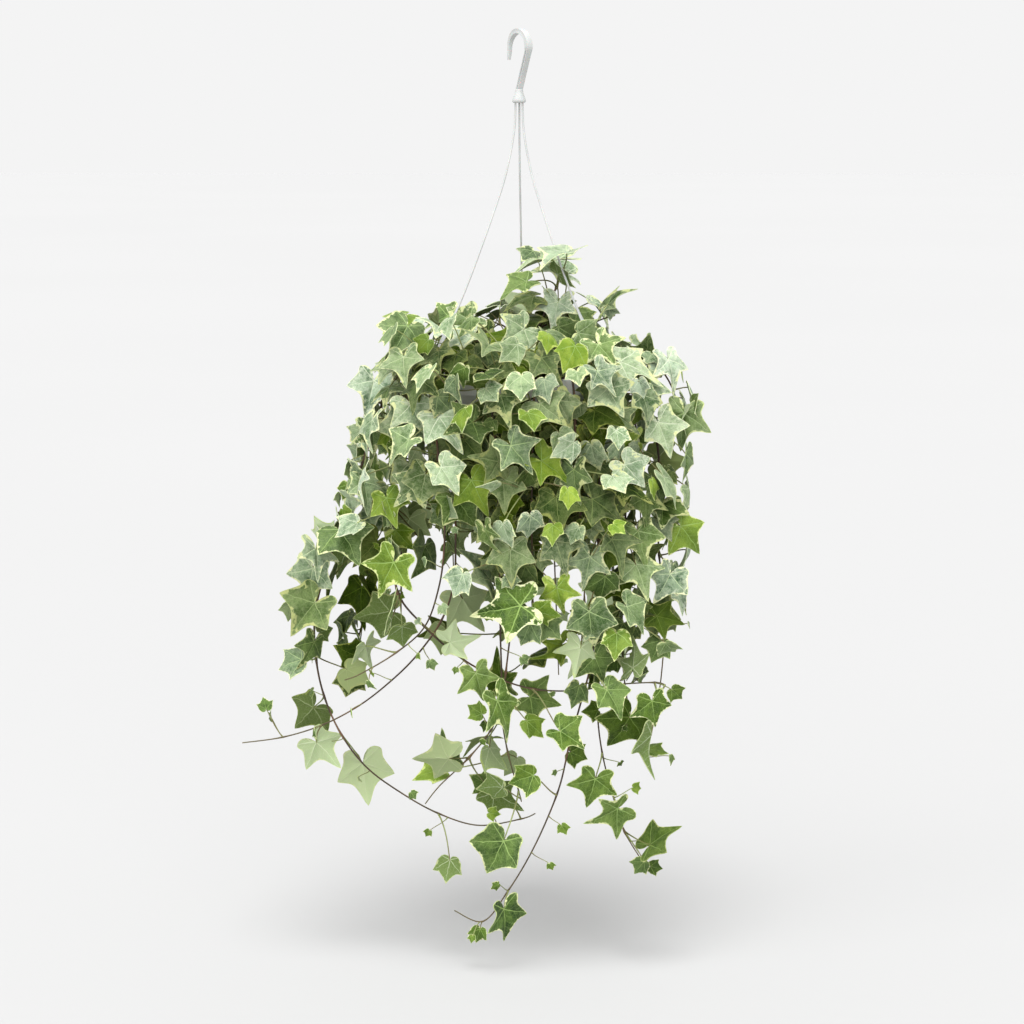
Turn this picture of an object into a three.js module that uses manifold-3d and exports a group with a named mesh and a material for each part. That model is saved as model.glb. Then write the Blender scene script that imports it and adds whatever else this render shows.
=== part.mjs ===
// English ivy in a white hanging pot: hook, three strands, pot, soil and trailing leafy stems.
// Millimetres, +Z up. The origin is the seat of the hook, where a rail carries it.
// X runs to the right seen from the front, and -Y points at the front.
import * as THREE from "three";
import { mergeVertices } from "three/addons/utils/BufferGeometryUtils.js";
import Module from "manifold-3d";

const wasm = await Module();
wasm.setup();

// Driving dimensions
const GAP = 0.3; // left between pieces that touch
const RIM_RADIUS = 85;
const RIM_Z = -285; // top of the pot's rim under the seat of the hook
const RIM_BAND = 14; // height of the turned-down band
const BAND_WALL = 1.6;
const POT_HEIGHT = 125;
const BASE_RADIUS = 58;
const POT_WALL = 1.8;
const ROUND_SIDES = 26;
const SOIL_DROP = 8; // soil edge under the rim's top
const SOIL_MOUND = 6;
const ROOT_DEPTH = 22; // stem below the soil's surface
const STRAND_RADIUS = 0.9;
const CLIP_WIDTH = 8;
const STRAND_ANGLES = { right: -33, back: 87, left: 207 };
const COLLAR_TOP = -48;
const COLLAR_BOTTOM = -58;
const SOCKET_CIRCLE = 3.6; // radius of the circle on which the strands leave the collar
const STEM_RADIUS = 1.7;
const STEM_STEP = 34; // length of one straight piece of stem
const CROWN_REACH = 110; // the pieces are half as long up to here
const STALK_RADIUS = 0.85;
const BLADE_THICKNESS = 2.2; // at the stalk, thinning to the edge
const BLADE_LENGTH = 34; // from stalk joint to tip, near the root of a stem
const TIP_LOSS = 8; // blades at a stem's tip are this much shorter
const STALK_LENGTH = 16; // on the trails; longer in the crown
const LEAF_SPACING = 15; // along a stem near the soil
const SPACING_GROWTH = 14; // added to it far down the stem
const LEAF_GAP = 0.5; // clear air between two leaves
const TRIES = 50;
const KEPT_IN_VIEW = 20; // room in front of a hand-placed blade, half of it in the dense part
const DENSE_FROM = -440; // leaves hang close together above this height
const MOST_TILT = 0.82; // a placed leaf of the dense foliage keeps this share of its length in view
const SHORTEST_DENSE = 29; // shortest blade placed by hand there

const SOIL_Z = RIM_Z - SOIL_DROP;
const WALL_TOP_RADIUS = RIM_RADIUS - 4.4;
const INNER_TOP_RADIUS = WALL_TOP_RADIUS - POT_WALL;
const INNER_BASE_RADIUS = BASE_RADIUS - POT_WALL;
const FLOOR_Z = RIM_Z - POT_HEIGHT + POT_WALL;

const COLOURS = {
  pot: 0xe6e7df,
  soil: 0x3a2c22,
  hanger: 0xeeeeec,
  ivy: 0x7d9a68,
};

// Vectors

const vec = (x, y, z) => new THREE.Vector3(x, y, z);
const UP = vec(0, 0, 1);
const DOWN = vec(0, 0, -1);
const radians = THREE.MathUtils.degToRad;

// A point at a radius and an angle round the pot's axis.
function polar(radius, degrees, z) {
  return vec(radius * Math.cos(radians(degrees)), radius * Math.sin(radians(degrees)), z);
}

// The sum of vectors times numbers, given in pairs.
function mix(...pairs) {
  const sum = vec(0, 0, 0);
  for (let i = 0; i < pairs.length; i += 2) sum.addScaledVector(pairs[i], pairs[i + 1]);
  return sum;
}

// The part of a vector that is square to a unit vector, as a unit vector.
function squareTo(vector, axis) {
  return mix(vector, 1, axis, -vector.dot(axis)).normalize();
}

// A repeatable draw: each call gives a number between minus and plus the size it is asked for.
function makeSpread(seed) {
  const [factor, modulus, warmUp] = [16807, 2147483647, 3];
  let state = seed;
  const spread = (size) => {
    state = (state * factor) % modulus;
    return ((2 * state) / modulus - 1) * size;
  };
  for (let k = 0; k < warmUp; k += 1) spread(1);
  return spread;
}

// Solids

function solidFrom(positions, triangles) {
  const mesh = new wasm.Mesh({
    numProp: 3,
    vertProperties: new Float32Array(positions),
    triVerts: new Uint32Array(triangles),
  });
  return new wasm.Manifold(mesh);
}

// A closed three.js geometry as a solid.
function solidOf(geometry) {
  const bare = geometry.clone();
  bare.deleteAttribute("normal");
  bare.deleteAttribute("uv");
  const merged = mergeVertices(bare, 1e-4);
  return solidFrom(merged.attributes.position.array, merged.index.array);
}

function geometryOf(solid) {
  const mesh = solid.getMesh();
  const positions = [];
  for (let i = 0; i < mesh.vertProperties.length; i += mesh.numProp)
    positions.push(...mesh.vertProperties.slice(i, i + 3));
  const geometry = new THREE.BufferGeometry();
  geometry.setAttribute("position", new THREE.Float32BufferAttribute(positions, 3));
  geometry.setIndex([...mesh.triVerts]);
  geometry.computeVertexNormals();
  return geometry;
}

// A body of revolution round the Z axis from a profile of [radius, z].
function turned(profile, sides = ROUND_SIDES) {
  const points = profile.map(([radius, z]) => new THREE.Vector2(radius, z));
  return new THREE.LatheGeometry(points, sides).rotateX(Math.PI / 2);
}

// A closed tube through points, with one radius for each point.
function tube(points, radii, sides) {
  const positions = [];
  const triangles = [];
  let side = squareTo(Math.abs(direction(points, 0).z) > 0.9 ? vec(1, 0, 0) : UP, direction(points, 0));
  points.forEach((point, ring) => {
    const along = direction(points, ring);
    side = squareTo(side, along);
    const across = along.clone().cross(side);
    for (let k = 0; k < sides; k += 1) {
      const turn = (2 * Math.PI * k) / sides;
      const rim = mix(side, Math.cos(turn) * radii[ring], across, Math.sin(turn) * radii[ring]);
      positions.push(...rim.add(point).toArray());
    }
    if (ring === 0) return;
    for (let k = 0; k < sides; k += 1) {
      const [a, b] = [(ring - 1) * sides + k, (ring - 1) * sides + ((k + 1) % sides)];
      triangles.push(a, b, b + sides, a, b + sides, a + sides);
    }
  });
  const last = (points.length - 1) * sides;
  for (let k = 1; k < sides - 1; k += 1) {
    triangles.push(0, k + 1, k);
    triangles.push(last, last + k, last + k + 1);
  }
  return solidFrom(positions, triangles);
}

// The direction of a row of points at one of them.
function direction(points, index) {
  const before = points[Math.max(index - 1, 0)];
  const after = points[Math.min(index + 1, points.length - 1)];
  return mix(after, 1, before, -1).normalize();
}

// Pot

// A white pot with a turned-down band at its rim, a foot ring and drain holes.
function potSolid() {
  const bandInner = RIM_RADIUS - BAND_WALL;
  const base = RIM_Z - POT_HEIGHT;
  const footStep = 3;
  const profile = [
    [0, base + footStep],
    [BASE_RADIUS - 8, base + footStep],
    [BASE_RADIUS - 6, base],
    [BASE_RADIUS, base],
    [WALL_TOP_RADIUS, RIM_Z - 4],
    [bandInner, RIM_Z - 4],
    [bandInner, RIM_Z - RIM_BAND],
    [RIM_RADIUS, RIM_Z - RIM_BAND],
    [RIM_RADIUS, RIM_Z],
    [INNER_TOP_RADIUS, RIM_Z],
    [INNER_BASE_RADIUS, FLOOR_Z + footStep],
    [0, FLOOR_Z + footStep],
  ];
  let pot = solidOf(turned(profile));
  const holes = 4;
  const holeRadius = 5;
  for (let k = 0; k < holes; k += 1) {
    const place = polar(34, (360 * k) / holes, base);
    const drill = new THREE.CylinderGeometry(holeRadius, holeRadius, 30, 8).rotateX(Math.PI / 2);
    pot = pot.subtract(solidOf(drill.translate(place.x, place.y, place.z)));
  }
  return pot;
}

// Height of the soil's surface at a distance from the pot's axis.
function soilHeight(radius) {
  return SOIL_Z + SOIL_MOUND * (1 - Math.min(radius / INNER_TOP_RADIUS, 1) ** 2);
}

// Peat that fills the pot, low at the wall and higher in the middle, with a plain hole for each stem.
function soilSolid(roots) {
  const wallRadius = (z) =>
    INNER_BASE_RADIUS +
    ((INNER_TOP_RADIUS - INNER_BASE_RADIUS) * (z - FLOOR_Z - 3)) / (RIM_Z - FLOOR_Z - 3) - GAP * 1.3;
  const bottom = FLOOR_Z + 3 + GAP;
  const middle = 0.6 * wallRadius(SOIL_Z);
  let soil = solidOf(
    turned([
      [0, bottom],
      [wallRadius(bottom), bottom],
      [wallRadius(SOIL_Z), SOIL_Z],
      [middle, soilHeight(middle)],
      [0, soilHeight(0)],
    ]),
  );
  for (const [radius, angle] of roots) {
    const depth = ROOT_DEPTH + GAP;
    const place = polar(radius, angle, soilHeight(radius) + 5 - depth / 2);
    const size = (STEM_RADIUS + GAP) * 2;
    const hole = new THREE.CylinderGeometry(size, size, depth + 10, 3).rotateX(Math.PI / 2);
    soil = soil.subtract(solidOf(hole.translate(place.x, place.y, place.z)));
  }
  return soil;
}

// Hanger

const HOOK_INNER = 11.6; // radius of the bend's inside
const HOOK_BAND = 4.2; // thickness of the bent bar, in the plane of the bend
const HOOK_DEPTH = 6; // width of the bar, across that plane
const HOOK_TURN = -55; // the plane of the bend, turned from facing the front

// The outline of the bent bar, set in from its edges: short arm, bend, slanted shaft.
function hookShape(inset) {
  const inner = HOOK_INNER + inset;
  const outer = HOOK_INNER + HOOK_BAND - inset;
  const half = HOOK_BAND / 2 - inset;
  const centre = -HOOK_INNER;
  const armEnd = -22 + inset * 1.5;
  const steps = 7;
  const shape = new THREE.Shape();
  const arc = (radius, from, to) => {
    for (let k = 0; k <= steps; k += 1) {
      const angle = from + ((to - from) * k) / steps;
      shape.lineTo(radius * Math.cos(angle), centre + radius * Math.sin(angle));
    }
  };
  shape.moveTo(-outer - 1.2, armEnd);
  arc(outer, Math.PI, -0.12);
  shape.lineTo(half, COLLAR_TOP + inset * 3);
  shape.lineTo(-half, COLLAR_TOP + inset * 3);
  arc(inner, -0.3, Math.PI);
  shape.lineTo(-inner - 1.2, armEnd);
  return shape;
}

function hookSlab(inset, depth, offset) {
  const slab = new THREE.ExtrudeGeometry(hookShape(inset), { depth, bevelEnabled: false });
  return solidOf(slab.translate(0, 0, offset).rotateX(Math.PI / 2).rotateZ(radians(HOOK_TURN)));
}

// The hook's bar has a groove along both faces, and stands in a flared collar with three sockets.
function hookSolid() {
  const groove = 1.4;
  let hook = hookSlab(0, HOOK_DEPTH, -HOOK_DEPTH / 2);
  hook = hook.subtract(hookSlab(1.2, groove + 1, -HOOK_DEPTH / 2 - 1));
  hook = hook.subtract(hookSlab(1.2, groove + 1, HOOK_DEPTH / 2 - groove));
  const collar = turned(
    [
      [0, COLLAR_BOTTOM],
      [5.9, COLLAR_BOTTOM],
      [5.9, COLLAR_BOTTOM + 2.4],
      [3.6, COLLAR_TOP - 1],
      [3.1, COLLAR_TOP + 2],
      [0, COLLAR_TOP + 2],
    ],
    12,
  );
  hook = hook.add(solidOf(collar));
  for (const angle of Object.values(STRAND_ANGLES)) {
    const place = polar(SOCKET_CIRCLE, angle, COLLAR_BOTTOM);
    const size = STRAND_RADIUS + GAP;
    const socket = new THREE.CylinderGeometry(size, size, 11, 6).rotateX(Math.PI / 2);
    hook = hook.subtract(solidOf(socket.translate(place.x, place.y, place.z)));
  }
  return hook;
}

// The way of a strand from its socket to the top of its clip at the rim.
function strandRoute(angle) {
  const foot = polar(RIM_RADIUS + 2, angle, RIM_Z + 4);
  return [
    polar(SOCKET_CIRCLE, angle, COLLAR_BOTTOM + 5.5 - GAP),
    polar(SOCKET_CIRCLE, angle, COLLAR_BOTTOM - 8),
    polar(SOCKET_CIRCLE + 1.2, angle, COLLAR_BOTTOM - 24),
    polar(SOCKET_CIRCLE + 6, angle, COLLAR_BOTTOM - 48),
    polar(SOCKET_CIRCLE + 16, angle, COLLAR_BOTTOM - 80),
    polar(SOCKET_CIRCLE + 50, angle, COLLAR_BOTTOM - 162),
    foot,
  ];
}

// A strand ends in a clip: it lies against the rim's band, passes under it and turns up behind it.
function strandSolid(angle) {
  const route = strandRoute(angle);
  const strand = tube(route, route.map(() => STRAND_RADIUS), 6);
  const plate = 1.8;
  const lip = 4;
  const outside = RIM_RADIUS + GAP;
  const under = RIM_Z - RIM_BAND - GAP;
  const behind = (RIM_RADIUS - BAND_WALL) * Math.cos(Math.PI / ROUND_SIDES) - GAP;
  const shape = new THREE.Shape();
  shape.moveTo(outside, RIM_Z + 6);
  shape.lineTo(outside + plate, RIM_Z + 6);
  shape.lineTo(outside + plate, under - plate);
  shape.lineTo(behind - 1.4, under - plate);
  shape.lineTo(behind - 1.4, under + lip);
  shape.lineTo(behind, under + lip);
  shape.lineTo(behind, under);
  shape.lineTo(outside, under);
  const clip = new THREE.ExtrudeGeometry(shape, { depth: CLIP_WIDTH, bevelEnabled: false });
  clip.translate(0, 0, -CLIP_WIDTH / 2).rotateX(Math.PI / 2).rotateZ(radians(angle));
  return strand.add(solidOf(clip));
}

// Leafy stems

// Each traced stem has its root in the soil as [radius, angle], the points that it passes through,
// the angle that its blades look towards, and where along it blades grow by rule, as
// [first, last] millimetres from the soil.
const TRAILING = {
  vine_left_arc: {
    root: [55, 200], face: 250, leafy: [20, 240], spacing: 19,
    route: [[-78, -28, -270], [-106, -38, -290], [-124, -44, -335], [-141, -46, -385], [-157, -46, -430],
      [-172, -46, -480], [-173, -48, -520], [-166, -50, -557], [-150, -55, -592], [-130, -60, -617],
      [-95, -60, -643], [-60, -60, -661], [-22, -55, -670], [14, -50, -660]],
  },
  vine_left_short: {
    root: [48, 183], face: 230, leafy: [20, 330], spacing: 19,
    route: [[-82, -12, -270], [-110, -16, -290], [-122, -24, -345], [-126, -28, -420], [-130, -30, -478],
      [-140, -30, -520]],
  },
  vine_far_left: {
    root: [52, 242], face: 258, leafy: [20, 150],
    route: [[-38, -72, -270], [-50, -98, -285], [-54, -100, -335], [-53, -94, -384], [-54, -88, -450],
      [-63, -82, -482], [-78, -80, -508], [-116, -75, -547], [-144, -70, -567], [-186, -65, -587],
      [-241, -60, -597]],
  },
  vine_left_curve: {
    root: [64, 230], face: 250, leafy: [20, 150],
    route: [[-56, -76, -270], [-70, -96, -290], [-67, -105, -340], [-62, -106, -385], [-62, -106, -421],
      [-68, -104, -461], [-81, -100, -493], [-99, -95, -509], [-121, -92, -525], [-146, -90, -536]],
  },
  vine_crossing: {
    root: [62, 218], face: 245, leafy: [20, 190],
    route: [[-66, -58, -270], [-90, -70, -290], [-100, -76, -340], [-106, -78, -400], [-101, -80, -465],
      [-83, -86, -487], [-64, -90, -505], [-37, -91, -525], [-10, -91, -537], [9, -90, -543],
      [32, -86, -547], [69, -80, -544], [101, -78, -539], [123, -76, -543]],
  },
  vine_front_short: {
    root: [58, 276], face: 272, leafy: [20, 330], spacing: 9,
    route: [[8, -76, -270], [12, -100, -285], [11, -106, -340], [10, -106, -407], [11, -105, -442],
      [11, -104, -500]],
  },
  vine_front_left: {
    root: [66, 262], face: 262, leafy: [20, 230], spacing: 10,
    route: [[-14, -80, -270], [-22, -102, -290], [-18, -107, -366], [-16, -105, -430], [-16, -103, -482],
      [-15, -101, -526], [-17, -98, -559], [-28, -96, -585], [-42, -95, -601], [-65, -92, -624],
      [-79, -90, -642]],
  },
  vine_front_middle: {
    root: [44, 270], face: 268, leafy: [20, 150], spacing: 9,
    route: [[-2, -70, -270], [-5, -94, -286], [-4, -97, -340], [-5, -95, -400], [-6, -92, -434],
      [-8, -85, -506], [-14, -80, -552], [-13, -78, -586], [-5, -76, -616], [2, -74, -644]],
  },
  vine_front_right: {
    root: [56, 298], face: 280, leafy: [20, 300], spacing: 9,
    route: [[34, -72, -270], [44, -95, -285], [47, -102, -350], [52, -102, -412], [54, -100, -484],
      [50, -98, -512]],
  },
  vine_longest: {
    root: [66, 308], face: 282, leafy: [20, 300], spacing: 12,
    route: [[50, -64, -270], [64, -82, -290], [66, -92, -340], [66, -92, -401], [64, -92, -470],
      [59, -92, -529], [50, -92, -560], [41, -90, -595], [31, -88, -639], [17, -86, -669],
      [2, -85, -702], [-15, -84, -726], [-33, -82, -748], [-44, -80, -744], [-55, -80, -737]],
  },
  vine_right_long: {
    root: [48, 318], face: 286, leafy: [20, 300], spacing: 14,
    route: [[50, -48, -270], [74, -62, -285], [79, -74, -340], [76, -76, -400], [72, -72, -470],
      [68, -70, -531], [66, -70, -560], [68, -69, -585], [72, -68, -612], [79, -67, -638],
      [88, -66, -668], [99, -65, -688], [110, -64, -706]],
  },
  vine_right_middle: {
    root: [64, 330], face: 290, leafy: [20, 300],
    route: [[72, -32, -270], [96, -45, -290], [94, -58, -340], [90, -60, -390], [87, -61, -450],
      [87, -62, -512], [90, -62, -546], [94, -62, -578], [102, -60, -595], [110, -58, -617]],
  },
  vine_right_edge: {
    root: [55, 344], face: 300, leafy: [20, 300],
    route: [[72, -18, -270], [100, -26, -282], [113, -33, -320], [119, -38, -366], [119, -40, -390],
      [118, -41, -430], [124, -43, -480], [122, -46, -530], [118, -50, -563]],
  },
  vine_right_outer: {
    root: [58, 6], face: 305, leafy: [20, 130],
    route: [[74, 5, -270], [104, -2, -270], [126, -12, -290], [135, -16, -318], [136, -20, -350]],
  },
  vine_right_rise: {
    root: [34, 8], face: 300, leafy: [16, 90],
    route: [[46, 4, -262], [62, 4, -246], [76, 0, -238], [88, -4, -238]],
  },
  vine_top_rise: {
    root: [9, 340], face: 272, leafy: [20, 115],
    route: [[16, -2, -250], [30, 2, -218], [40, 4, -194]],
  },
};

// Stems at the back spill over the rim at an angle and hang to a depth under it.
const BACK = [
  { angle: 12, drop: 130 },
  { angle: 43, drop: 270 },
  { angle: 75, drop: 290 },
  { angle: 100, drop: 180 },
  { angle: 128, drop: 200 },
  { angle: 158, drop: 140 },
  { angle: 171, drop: 230 },
];

function backVine({ angle, drop }, index) {
  const sway = index % 2 ? 5 : -5;
  const heights = [-40, -drop * 0.55, -drop];
  return {
    root: [58, angle], face: angle, leafy: [20, drop + 100], spacing: 36,
    route: [polar(76, angle, RIM_Z + 16), polar(95, angle, RIM_Z + 2),
      ...heights.map((height, k) => polar(102 + 2 * k, angle + sway * (k / 2), RIM_Z + height))],
  };
}

// Short stems fill the crown: three between each two strands rise from the soil and arch outwards.
const CROWN_OFFSETS = [-30, 0, 34];

function crownVine(angle, index) {
  const inner = index % 2 ? 12 : 36;
  const rise = index % 2 ? 16 : 0;
  const lift = 0.75 + 0.25 * Math.cos(radians(angle - 60));
  const arch = [[2, 12], [10, 22], [26, 26], [40, 20]]; // outwards from the root, over the rim
  return {
    root: [inner, angle], face: angle, leafy: [10, 120], spacing: 8,
    route: arch.map(([out, over]) => polar(inner + out, angle, RIM_Z + (over + rise) * lift)),
  };
}

function allVines() {
  const vines = Object.entries(TRAILING).map(([name, vine]) => ({ name, ...vine }));
  BACK.forEach((entry, k) => vines.push({ name: `vine_back_${k + 1}`, ...backVine(entry, k) }));
  Object.values(STRAND_ANGLES).flatMap((angle) => CROWN_OFFSETS.map((offset) => angle + 60 + offset))
    .forEach((angle, k) => vines.push({ name: `vine_crown_${k + 1}`, ...crownVine(angle, k) }));
  return vines;
}

// Blades that show singly in the photograph, placed by hand: stalk joint, tip and the way they face.
const PLACED = [
  { joint: [-104, -104, -434], tip: [-119, -100, -466], faces: "front" },
  { joint: [-109, -60, -483], tip: [-139, -56, -488], faces: "back" },
  { joint: [-172, -64, -475], tip: [-194, -74, -499], faces: "front" },
  { joint: [-176, -34, -571], tip: [-192, -22, -591], faces: "back" },
  { joint: [-173, -48, -598], tip: [-155, -40, -619], faces: "back" },
  { joint: [-134, -40, -618], tip: [-131, -36, -652], faces: "back" },
  { joint: [-146, -62, -532], tip: [-126, -62, -545], faces: "back", roll: 15 },
  { joint: [-36, -104, -527], tip: [-28, -100, -554], faces: "front" },
  { joint: [-106, -100, -482], tip: [-76, -104, -484], faces: "up" },
  { joint: [-48, -68, -470], tip: [-30, -66, -500], faces: "back", roll: 40 },
  { joint: [-62, -62, -497], tip: [-66, -62, -520], faces: "back" },
  { joint: [-171, -62, -429], tip: [-166, -60, -454], faces: "front", roll: 45 },
  { joint: [-146, -14, -433], tip: [-157, -10, -463], faces: "back", roll: 25 },
  { joint: [-174, -64, -447], tip: [-181, -60, -477], faces: "front" },
  { joint: [-184, -62, -524], tip: [-206, -60, -531], faces: "front" },
  { joint: [-214, -64, -566], tip: [-217, -64, -556], faces: "front" },
  { joint: [-165, -30, -427], tip: [-174, -28, -406], faces: "back", roll: 30 },
  { joint: [-59, -108, -599], tip: [-89, -108, -598], faces: "back" },
  { joint: [-57, -82, -604], tip: [-67, -80, -580], faces: "front", roll: 25 },
  { joint: [-18, -114, -548], tip: [-4, -110, -584], faces: "front", roll: 45 },
  { joint: [-31, -104, -562], tip: [-43, -104, -554], faces: "front" },
  { joint: [9, -104, -551], tip: [36, -106, -558], faces: "front" },
  { joint: [34, -106, -576], tip: [56, -108, -589], faces: "front", roll: 30 },
  { joint: [43, -78, -600], tip: [58, -76, -607], faces: "front" },
  { joint: [12, -96, -616], tip: [-9, -98, -623], faces: "front", roll: 20 },
  { joint: [-2, -64, -608], tip: [-12, -60, -624], faces: "back" },
  { joint: [-21, -66, -638], tip: [3, -64, -653], faces: "back" },
  { joint: [64, -88, -621], tip: [57, -84, -648], faces: "front" },
  { joint: [83, -82, -648], tip: [56, -88, -662], faces: "side" },
  { joint: [111, -76, -682], tip: [134, -80, -661], faces: "front", roll: 45 },
  { joint: [106, -66, -697], tip: [98, -66, -708], faces: "front" },
  { joint: [112, -60, -704], tip: [123, -60, -706], faces: "front" },
  { joint: [-13, -102, -671], tip: [-28, -98, -701], faces: "front" },
  { joint: [-13, -98, -731], tip: [-10, -90, -763], faces: "front", roll: 45 },
  { joint: [111, -94, -553], tip: [115, -90, -577], faces: "front", roll: 25 },
  { joint: [129, -70, -548], tip: [138, -70, -557], faces: "front" },
  { joint: [93, -78, -570], tip: [76, -74, -600], faces: "front", roll: 35 },
  { joint: [111, -72, -583], tip: [102, -70, -618], faces: "back", roll: 55 },
  { joint: [116, -66, -486], tip: [141, -64, -492], faces: "front" },
  { joint: [113, -50, -480], tip: [115, -48, -514], faces: "front" },
  { joint: [63, -100, -514], tip: [72, -98, -538], faces: "front" },
  { joint: [51, -108, -505], tip: [45, -108, -531], faces: "back" },
  { joint: [35, -108, -505], tip: [11, -110, -523], faces: "side" },
  { joint: [9, -116, -483], tip: [1, -114, -503], faces: "front" },
  { joint: [-33, -80, -753], tip: [-37, -80, -766], faces: "front" },
  { joint: [-59, -60, -698], tip: [-62, -58, -718], faces: "back" },
  { joint: [34, -4, -190], tip: [-4, -8, -208], faces: "up" },
  { joint: [40, -2, -182], tip: [16, -22, -187], faces: "up" },
  { joint: [33, -22, -225], tip: [27, -36, -247], faces: "front" },
  { joint: [75, -12, -228], tip: [93, -12, -208], faces: "front", roll: 50 },
  { joint: [18, -98, -265], tip: [37, -110, -286], faces: "front" },
  { joint: [65, -88, -255], tip: [81, -100, -272], faces: "front" },
  { joint: [-25, -92, -255], tip: [-38, -108, -278], faces: "front" },
  { joint: [4, -70, -244], tip: [-11, -82, -253], faces: "front" },
  { joint: [72, -112, -289], tip: [82, -118, -305], faces: "front" },
  { joint: [62, -122, -307], tip: [78, -126, -314], faces: "front" },
  { joint: [17, -126, -300], tip: [35, -130, -313], faces: "front" },
  { joint: [-15, -122, -294], tip: [-11, -126, -308], faces: "front" },
  { joint: [-89, -98, -303], tip: [-77, -106, -328], faces: "front" },
  { joint: [-38, -120, -316], tip: [-59, -120, -322], faces: "front" },
  { joint: [-7, -130, -334], tip: [12, -134, -357], faces: "front" },
  { joint: [18, -124, -347], tip: [43, -128, -364], faces: "front" },
  { joint: [-17, -122, -348], tip: [-39, -120, -342], faces: "front" },
  { joint: [-77, -108, -359], tip: [-82, -110, -384], faces: "front" },
  { joint: [-13, -126, -363], tip: [-12, -128, -380], faces: "front" },
  { joint: [30, -122, -377], tip: [33, -122, -398], faces: "front" },
  { joint: [-39, -112, -363], tip: [-27, -110, -387], faces: "front" },
  { joint: [-52, -116, -379], tip: [-34, -114, -406], faces: "front" },
  { joint: [-7, -122, -420], tip: [-8, -122, -440], faces: "front" },
  { joint: [30, -120, -414], tip: [37, -122, -438], faces: "front" },
  { joint: [31, -118, -453], tip: [35, -116, -480], faces: "front" },
  { joint: [71, -104, -446], tip: [70, -104, -469], faces: "front" },
  { joint: [97, -90, -439], tip: [106, -88, -455], faces: "front" },
  { joint: [105, -80, -383], tip: [108, -82, -409], faces: "front" },
  { joint: [99, -86, -411], tip: [107, -88, -436], faces: "front" },
  { joint: [136, -56, -411], tip: [156, -58, -433], faces: "front" },
  { joint: [1, -124, -467], tip: [-41, -126, -474], faces: "front" },
  { joint: [-8, -124, -443], tip: [-4, -126, -454], faces: "front" },
  { joint: [-24, -110, -450], tip: [-41, -112, -418], faces: "side" },
  { joint: [-92, -76, -402], tip: [-98, -72, -427], faces: "back" },
  { joint: [140, -28, -318], tip: [135, -30, -351], faces: "front" },
  { joint: [126, -26, -273], tip: [133, -30, -301], faces: "front", roll: 50 },
  { joint: [84, -56, -272], tip: [123, -60, -281], faces: "up" },
  { joint: [-123, -60, -329], tip: [-117, -62, -356], faces: "front", roll: 25 },
  { joint: [-122, -46, -289], tip: [-125, -50, -307], faces: "front" },
  { joint: [-93, -60, -242], tip: [-103, -72, -261], faces: "front" },
  { joint: [-67, -62, -242], tip: [-72, -76, -261], faces: "front" },
  { joint: [-96, -30, -235], tip: [-114, -46, -239], faces: "up" },
  { joint: [-192, -58, -479], tip: [-199, -52, -492], faces: "back", roll: 35 },
  { joint: [-173, -56, -508], tip: [-179, -66, -530], faces: "front", roll: 50 },
  { joint: [-170, -38, -505], tip: [-161, -28, -503], faces: "back", roll: 20 },
  { joint: [-138, -50, -523], tip: [-150, -65, -516], faces: "front", roll: 30 },
  { joint: [-143, -58, -539], tip: [-147, -73, -554], faces: "front", roll: 10 },
  { joint: [-129, -68, -510], tip: [-125, -56, -532], faces: "back", roll: 60 },
  { joint: [-65, -98, -619], tip: [-86, -108, -615], faces: "up" },
  { joint: [-96, -58, -399], tip: [-103, -44, -430], faces: "back", roll: 15 },
  { joint: [-79, -72, -424], tip: [-80, -80, -441], faces: "front", roll: 55 },
  { joint: [-98, -82, -492], tip: [-100, -69, -507], faces: "back", roll: 20 },
  { joint: [-61, -72, -504], tip: [-84, -58, -504], faces: "back", roll: 25 },
  { joint: [-58, -64, -503], tip: [-36, -50, -504], faces: "back", roll: 45 },
  { joint: [-125, -34, -404], tip: [-125, -43, -420], faces: "front", roll: 35 },
  { joint: [-120, -40, -423], tip: [-129, -49, -434], faces: "front", roll: 30 },
  { joint: [-14, -70, -542], tip: [-24, -78, -514], faces: "front", roll: 55 },
  { joint: [-9, -86, -495], tip: [13, -101, -501], faces: "front", roll: 30 },
  { joint: [22, -92, -502], tip: [16, -101, -513], faces: "front", roll: 20 },
  { joint: [13, -66, -526], tip: [36, -77, -510], faces: "front", roll: 55 },
  { joint: [6, -114, -567], tip: [22, -119, -577], faces: "front", roll: 20 },
  { joint: [-27, -62, -592], tip: [-49, -48, -598], faces: "back", roll: 50 },
  { joint: [-25, -70, -594], tip: [-20, -62, -616], faces: "back", roll: 60 },
  { joint: [-14, -72, -628], tip: [-33, -62, -626], faces: "back", roll: 20 },
  { joint: [-26, -80, -632], tip: [-41, -87, -627], faces: "front", roll: 35 },
  { joint: [66, -84, -564], tip: [56, -94, -564], faces: "front", roll: 20 },
  { joint: [109, -76, -601], tip: [125, -82, -598], faces: "front", roll: 60 },
  { joint: [95, -94, -525], tip: [101, -79, -505], faces: "back", roll: 60 },
  { joint: [82, -96, -519], tip: [72, -105, -530], faces: "front", roll: 20 },
  { joint: [109, -22, -280], tip: [108, -32, -263], faces: "front", roll: 45 },
  { joint: [119, -32, -359], tip: [144, -22, -362], faces: "back", roll: 45 },
  { joint: [41, -12, -204], tip: [15, -22, -193], faces: "up" },
  { joint: [6, -44, -206], tip: [-16, -54, -211], faces: "up" },
  { joint: [12, -24, -220], tip: [-12, -34, -221], faces: "up" },
  { joint: [62, -16, -227], tip: [78, -32, -237], faces: "front", roll: 60 },
];

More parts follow.
